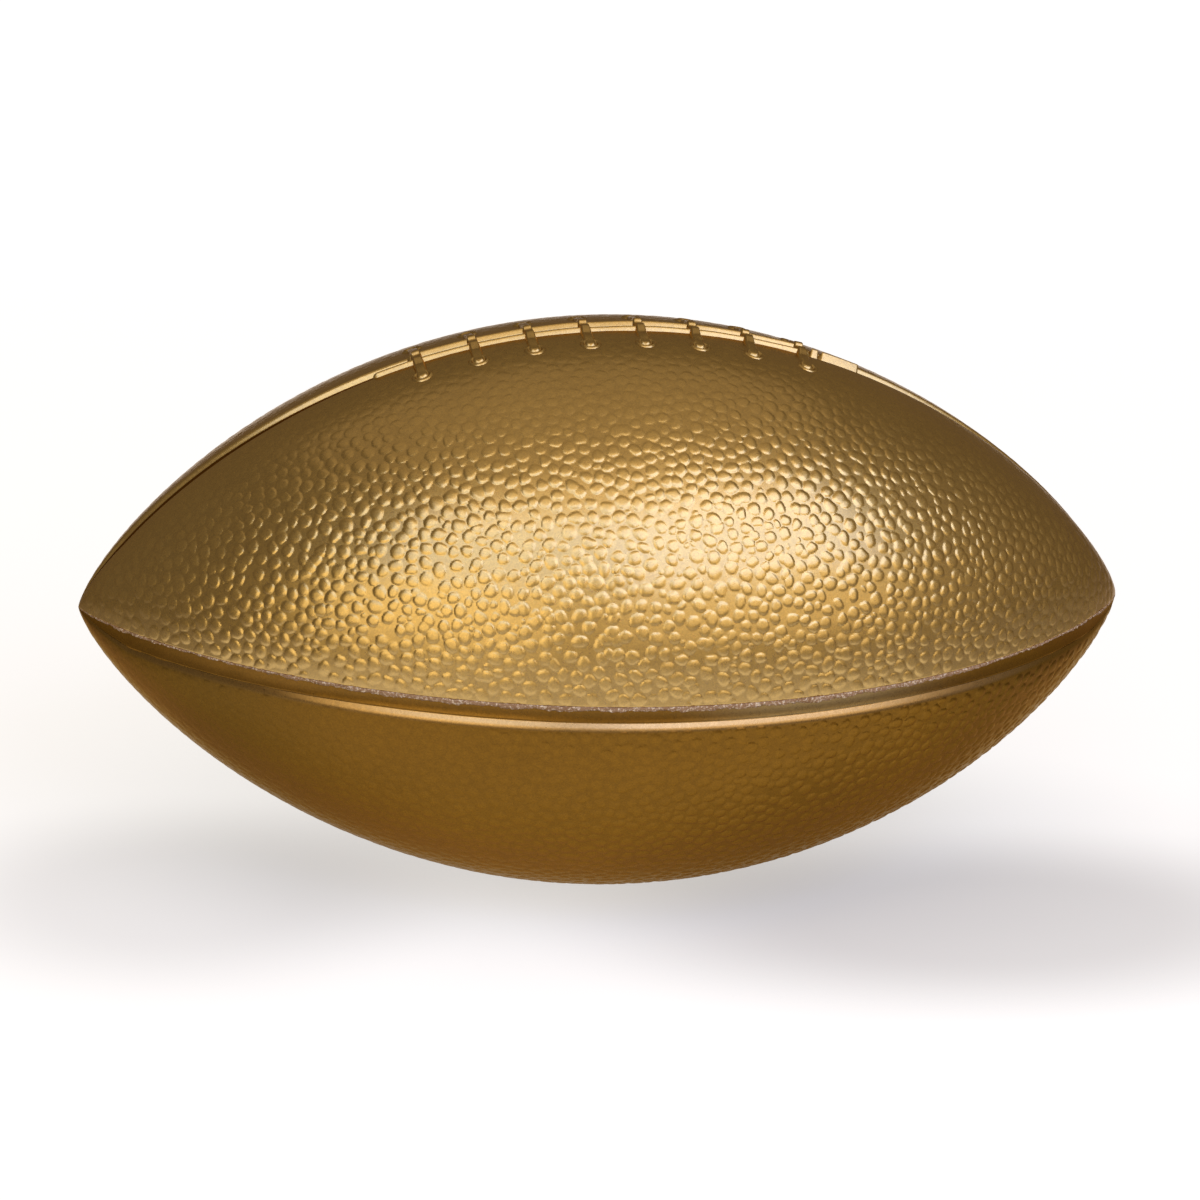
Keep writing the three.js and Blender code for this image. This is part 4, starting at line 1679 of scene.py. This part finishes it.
@dataclass
class Studio:
    """Pale floor, soft boxes and a dim room.

    The floor glows in a pool around the ball, which spreads and slants towards the back. It glows brighter at
    the back, where less light falls, and less in front and far behind, where the gold mirrors no floor.
    """

    floor_size: float = 14.0
    floor_colour: str = "#B4AEA4"
    paper_cloud: float = 50 / 3 * MM
    paper_roughness: Span = (0.85, 0.95)
    paper_specular: float = 0.1
    pool: Span = (0.14, 0.25)
    pool_spread: float = 0.18
    pool_slant: float = 0.19
    back: Span = (0.0, 0.9)
    back_glow: Span = (0.72, 0.94)
    far: Span = (1.15, 1.6)
    front: Span = (-0.16, -0.27)
    front_share: float = 0.34
    shades: tuple[FloorShade, ...] = (
        FloorShade((0.035, -0.005), (0.105, 0.05), 0.84),
        FloorShade((0.085, -0.04), (0.075, 0.038), 0.58),
        FloorShade((-0.1, -0.015), (0.05, 0.04), 0.75),
    )
    shade_edge: Span = (0.5, 1.5)
    room: str = "#7C7265"
    room_strength: Span = (1.0, 2.35)
    room_span: Span = (-0.1, 1.1)
    room_azimuth: float = 20.0
    room_elevation: float = 20.0
    lamps: tuple[SoftLamp, ...] = (
        SoftLamp("window", 32.0, 41.0, 0.9, 0.88, 0.46, 3.8, "#AEC4FF"),
        SoftLamp("side_window", -28.0, 40.0, 0.9, 0.54, 0.44, 2.4, "#BCD2FF"),
        SoftLamp("ceiling", 8.0, 61.0, 0.9, 1.2, 0.3, 0.95, "#FFEBC8"),
        SoftLamp("overhead", 0.0, 102.0, 1.2, 1.6, 1.2, 0.25, "#FFEBC8"),
        SoftLamp("low_left", -32.0, 13.8, 0.95, 0.72, 0.44, 1.6, "#FFF0C4"),
        SoftLamp("low_right", 30.0, 17.0, 0.95, 0.98, 0.42, 0.96, "#FFEEC4"),
    )

    def glow(self, tree: NodeTree, place: NodeSocket) -> Node:
        """Strength of the floor's glow, for the camera and for what the gold mirrors.

        Args:
            tree: Node tree of the floor's material.
            place: Places on the floor.

        Returns:
            Node of the strength.
        """
        path = add_node(tree, "LightPath").outputs
        away = add_node(tree, "SeparateXYZ", {"Vector": place}).outputs
        slant = add_node(tree, "Math", [away["Y"], -self.pool_slant, away["X"]], operation="MULTIPLY_ADD")
        aside, behind = (add_node(tree, "Math", [value], operation="ABSOLUTE")
                         for value in (slant, away["Y"]))
        spread = add_node(tree, "Math", [behind, -self.pool_spread, aside], operation="MULTIPLY_ADD")
        parts = [(spread, self.pool, (1.0, 0.0), "SMOOTHSTEP"),
                 (away["Y"], self.back, self.back_glow, "LINEAR"),
                 (away["Y"], self.far, (1.0, 0.0), "LINEAR"),
                 (away["Y"], self.front, (1.0, self.front_share), "SMOOTHSTEP")]
        parts += [(shade.distance(tree, place), self.shade_edge, (shade.share, 1.0), "SMOOTHSTEP")
                  for shade in self.shades]
        strength = path["Is Camera Ray"]
        for kind in ("Is Glossy Ray", "Is Transmission Ray"):
            strength = add_node(tree, "Math", [strength, path[kind]], operation="MAXIMUM")
        for value, span, shares, way in parts:
            part = add_node(tree, "MapRange", [value, *span, *shares], interpolation_type=way)
            strength = add_node(tree, "Math", [strength, part], operation="MULTIPLY")
        return strength

    def floor_finish(self) -> Material:
        """Matte pale paper, which keeps the ball's shadow and looks white to the camera and in the gold.

        Returns:
            The floor's material.
        """
        material, tree = new_material("matte_studio_paper")
        place = add_node(tree, "TexCoord").outputs["Object"]
        grain = add_node(tree, "TexNoise", {"Vector": place, "Scale": 1 / self.paper_cloud, "Detail": 2.0})
        paper = add_node(tree, "BsdfPrincipled", {
            "Base Color": linear(self.floor_colour), "Specular IOR Level": self.paper_specular,
            "Roughness": add_node(tree, "MapRange", [grain, 0.0, 1.0, *self.paper_roughness])})
        light = add_node(tree, "Emission", {"Color": linear("#FFFFFF"), "Strength": self.glow(tree, place)})
        add_node(tree, "OutputMaterial", {"Surface": add_node(tree, "AddShader", [paper, light])})
        return material

    def build(self) -> None:
        """Builds the floor under the ball, the lamps and the room's dim light."""
        half, low = self.floor_size / 2, CAD_BOX[0].z
        corners = np.array([[-half, -half, low], [half, -half, low], [half, half, low], [-half, half, low]])
        floor = make_mesh("studio_floor", corners, np.array([[0, 1, 2, 3]]))
        floor.data.materials.append(self.floor_finish())
        for lamp in self.lamps:
            lamp.build()
        world = bpy.data.worlds.new("dim_room")
        world.use_nodes = True
        tree = world.node_tree
        tree.nodes.clear()
        # The walls are lighter around the windows, in front of the ball, and dim behind it
        way = add_node(tree, "TexCoord").outputs["Generated"]
        lit = aim(self.room_azimuth, self.room_elevation)
        facing = add_node(tree, "VectorMath", [way, lit], operation="DOT_PRODUCT")
        level = add_node(tree, "MapRange", [facing, *self.room_span, *self.room_strength],
                         interpolation_type="SMOOTHSTEP")
        walls = add_node(tree, "Background", {"Color": linear(self.room), "Strength": level})
        add_node(tree, "OutputWorld", {"Surface": walls})
        bpy.context.scene.world = world
        bpy.context.scene.view_settings.view_transform = "Standard"


def main() -> None:
    """Builds the camera and the studio, and then the ball from its cover to its inner pieces."""
    logging.basicConfig(level=logging.INFO, format="%(name)s: %(message)s")
    PhotoCamera().build()
    Studio().build()

    gold = GoldPaint("sprayed_gold_lacquer", "#BC953E", "#B28C37", "#C49E48").build()
    # The lower panels' gold is the upper panels' paint painted darker as shade, with a painted highlight on
    # the lips and painted shade at the noses
    deep_gold = GoldPaint("sprayed_gold_lacquer_shaded_below", "#7C5610", "#74500E", "#845C14", "#B89562", "#66480D",
                          coat=0.04).build()
    # The seams' gold is the paint painted darker as shade in the channels, with a painted highlight along a
    # stretch of the parting strips
    seam_gold = GoldPaint("smooth_gold_lacquer_shaded_in_seams", "#7A5518", "#7A5518", "#705012", "#A08C62",
                          coat=0.04).build()
    lace_gold = GoldPaint("smooth_gold_lacquer_on_lacing", "#B28C37", "#B28C37", "#BC953E").build()
    flash_rubber = TrimmedRubber().build()
    butyl = MouldedRubber("moulded_butyl_rubber", "#1E1E20", "#2C2B2B", 0.55).build()
    valve_rubber = MouldedRubber("moulded_valve_rubber", "#2E2822", "#3D362E", 0.6).build()
    nylon = WoundNylon().build()

    # The panels in view have finer meshes
    CoverPanel("upper_front_panel", "gold_cover", Seam.TOP, CENTRED_EDGE, PARTING_EDGE, Pebbles(101),
               eyelet_side=1, spacing=0.28 * MM).build(gold)
    # The lower panels take the gold with painted shade
    CoverPanel("lower_front_panel", "deep_gold_cover", Seam.FRONT, PARTING_LOWER_EDGE, CENTRED_EDGE,
               Pebbles(102), spacing=0.34 * MM).build(deep_gold)
    CoverPanel("lower_rear_panel", "deep_gold_cover", Seam.BOTTOM, CENTRED_EDGE, PARTING_LOWER_EDGE,
               Pebbles(103, 0.9), has_valve=True).build(deep_gold)
    CoverPanel("upper_rear_panel", "gold_cover", Seam.REAR, PARTING_EDGE, CENTRED_EDGE, Pebbles(104),
               eyelet_side=-1).build(gold)

    half_floor, full_floor = CENTRED_EDGE.setback, PARTING_LOWER_EDGE.setback
    for name, seam, start, end, rim_side in (
            ("top_seam_strip", Seam.TOP, -half_floor, half_floor, 0),
            ("front_seam_strip", Seam.FRONT, 0.0, full_floor, 1),
            ("bottom_seam_strip", Seam.BOTTOM, -half_floor, half_floor, 0),
            ("rear_seam_strip", Seam.REAR, -full_floor, 0.0, -1)):
        SeamStrip(name, "seam_gold", seam, start, end, rim_side).build(seam_gold)
    MouldFlash("front_mould_flash", "seam_gold", Seam.FRONT, 1).build(flash_rubber)
    MouldFlash("rear_mould_flash", "seam_gold", Seam.REAR, -1).build(flash_rubber)

    bars = LACING.bars()
    rail_end = bars[-1] + LACING.rail_tail
    LaceRail("front_lace_rail", "lacing_gold", bars[0] - LACING.front_lead, rail_end, 1).build(lace_gold)
    LaceRail("rear_lace_rail", "lacing_gold", bars[0] - LACING.rear_lead, rail_end, -1).build(lace_gold)
    tab_start, tab_end = (bars[-1] + past for past in LACING.tab_span)
    LaceEndTab("lace_end_tab", "lacing_gold", tab_start, tab_end).build(lace_gold)
    for i, x in enumerate(bars):
        LaceBar(f"lace_bar_{i + 1}", "lacing_gold", x, LACING.bar_seed + i).build(lace_gold)

    TurnedRubber("valve_housing", "valve_rubber", VALVE.housing()).build(valve_rubber)
    TurnedRubber("valve_core", "butyl_rubber", VALVE.core()).build(butyl)
    for node, finish in (("wound_carcass", nylon), ("air_bladder", butyl)):
        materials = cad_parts[node].data.materials
        materials.clear()
        materials.append(finish)
        LOG.info("%s: kept from the frame", node)


if __name__ == "__main__":
    main()
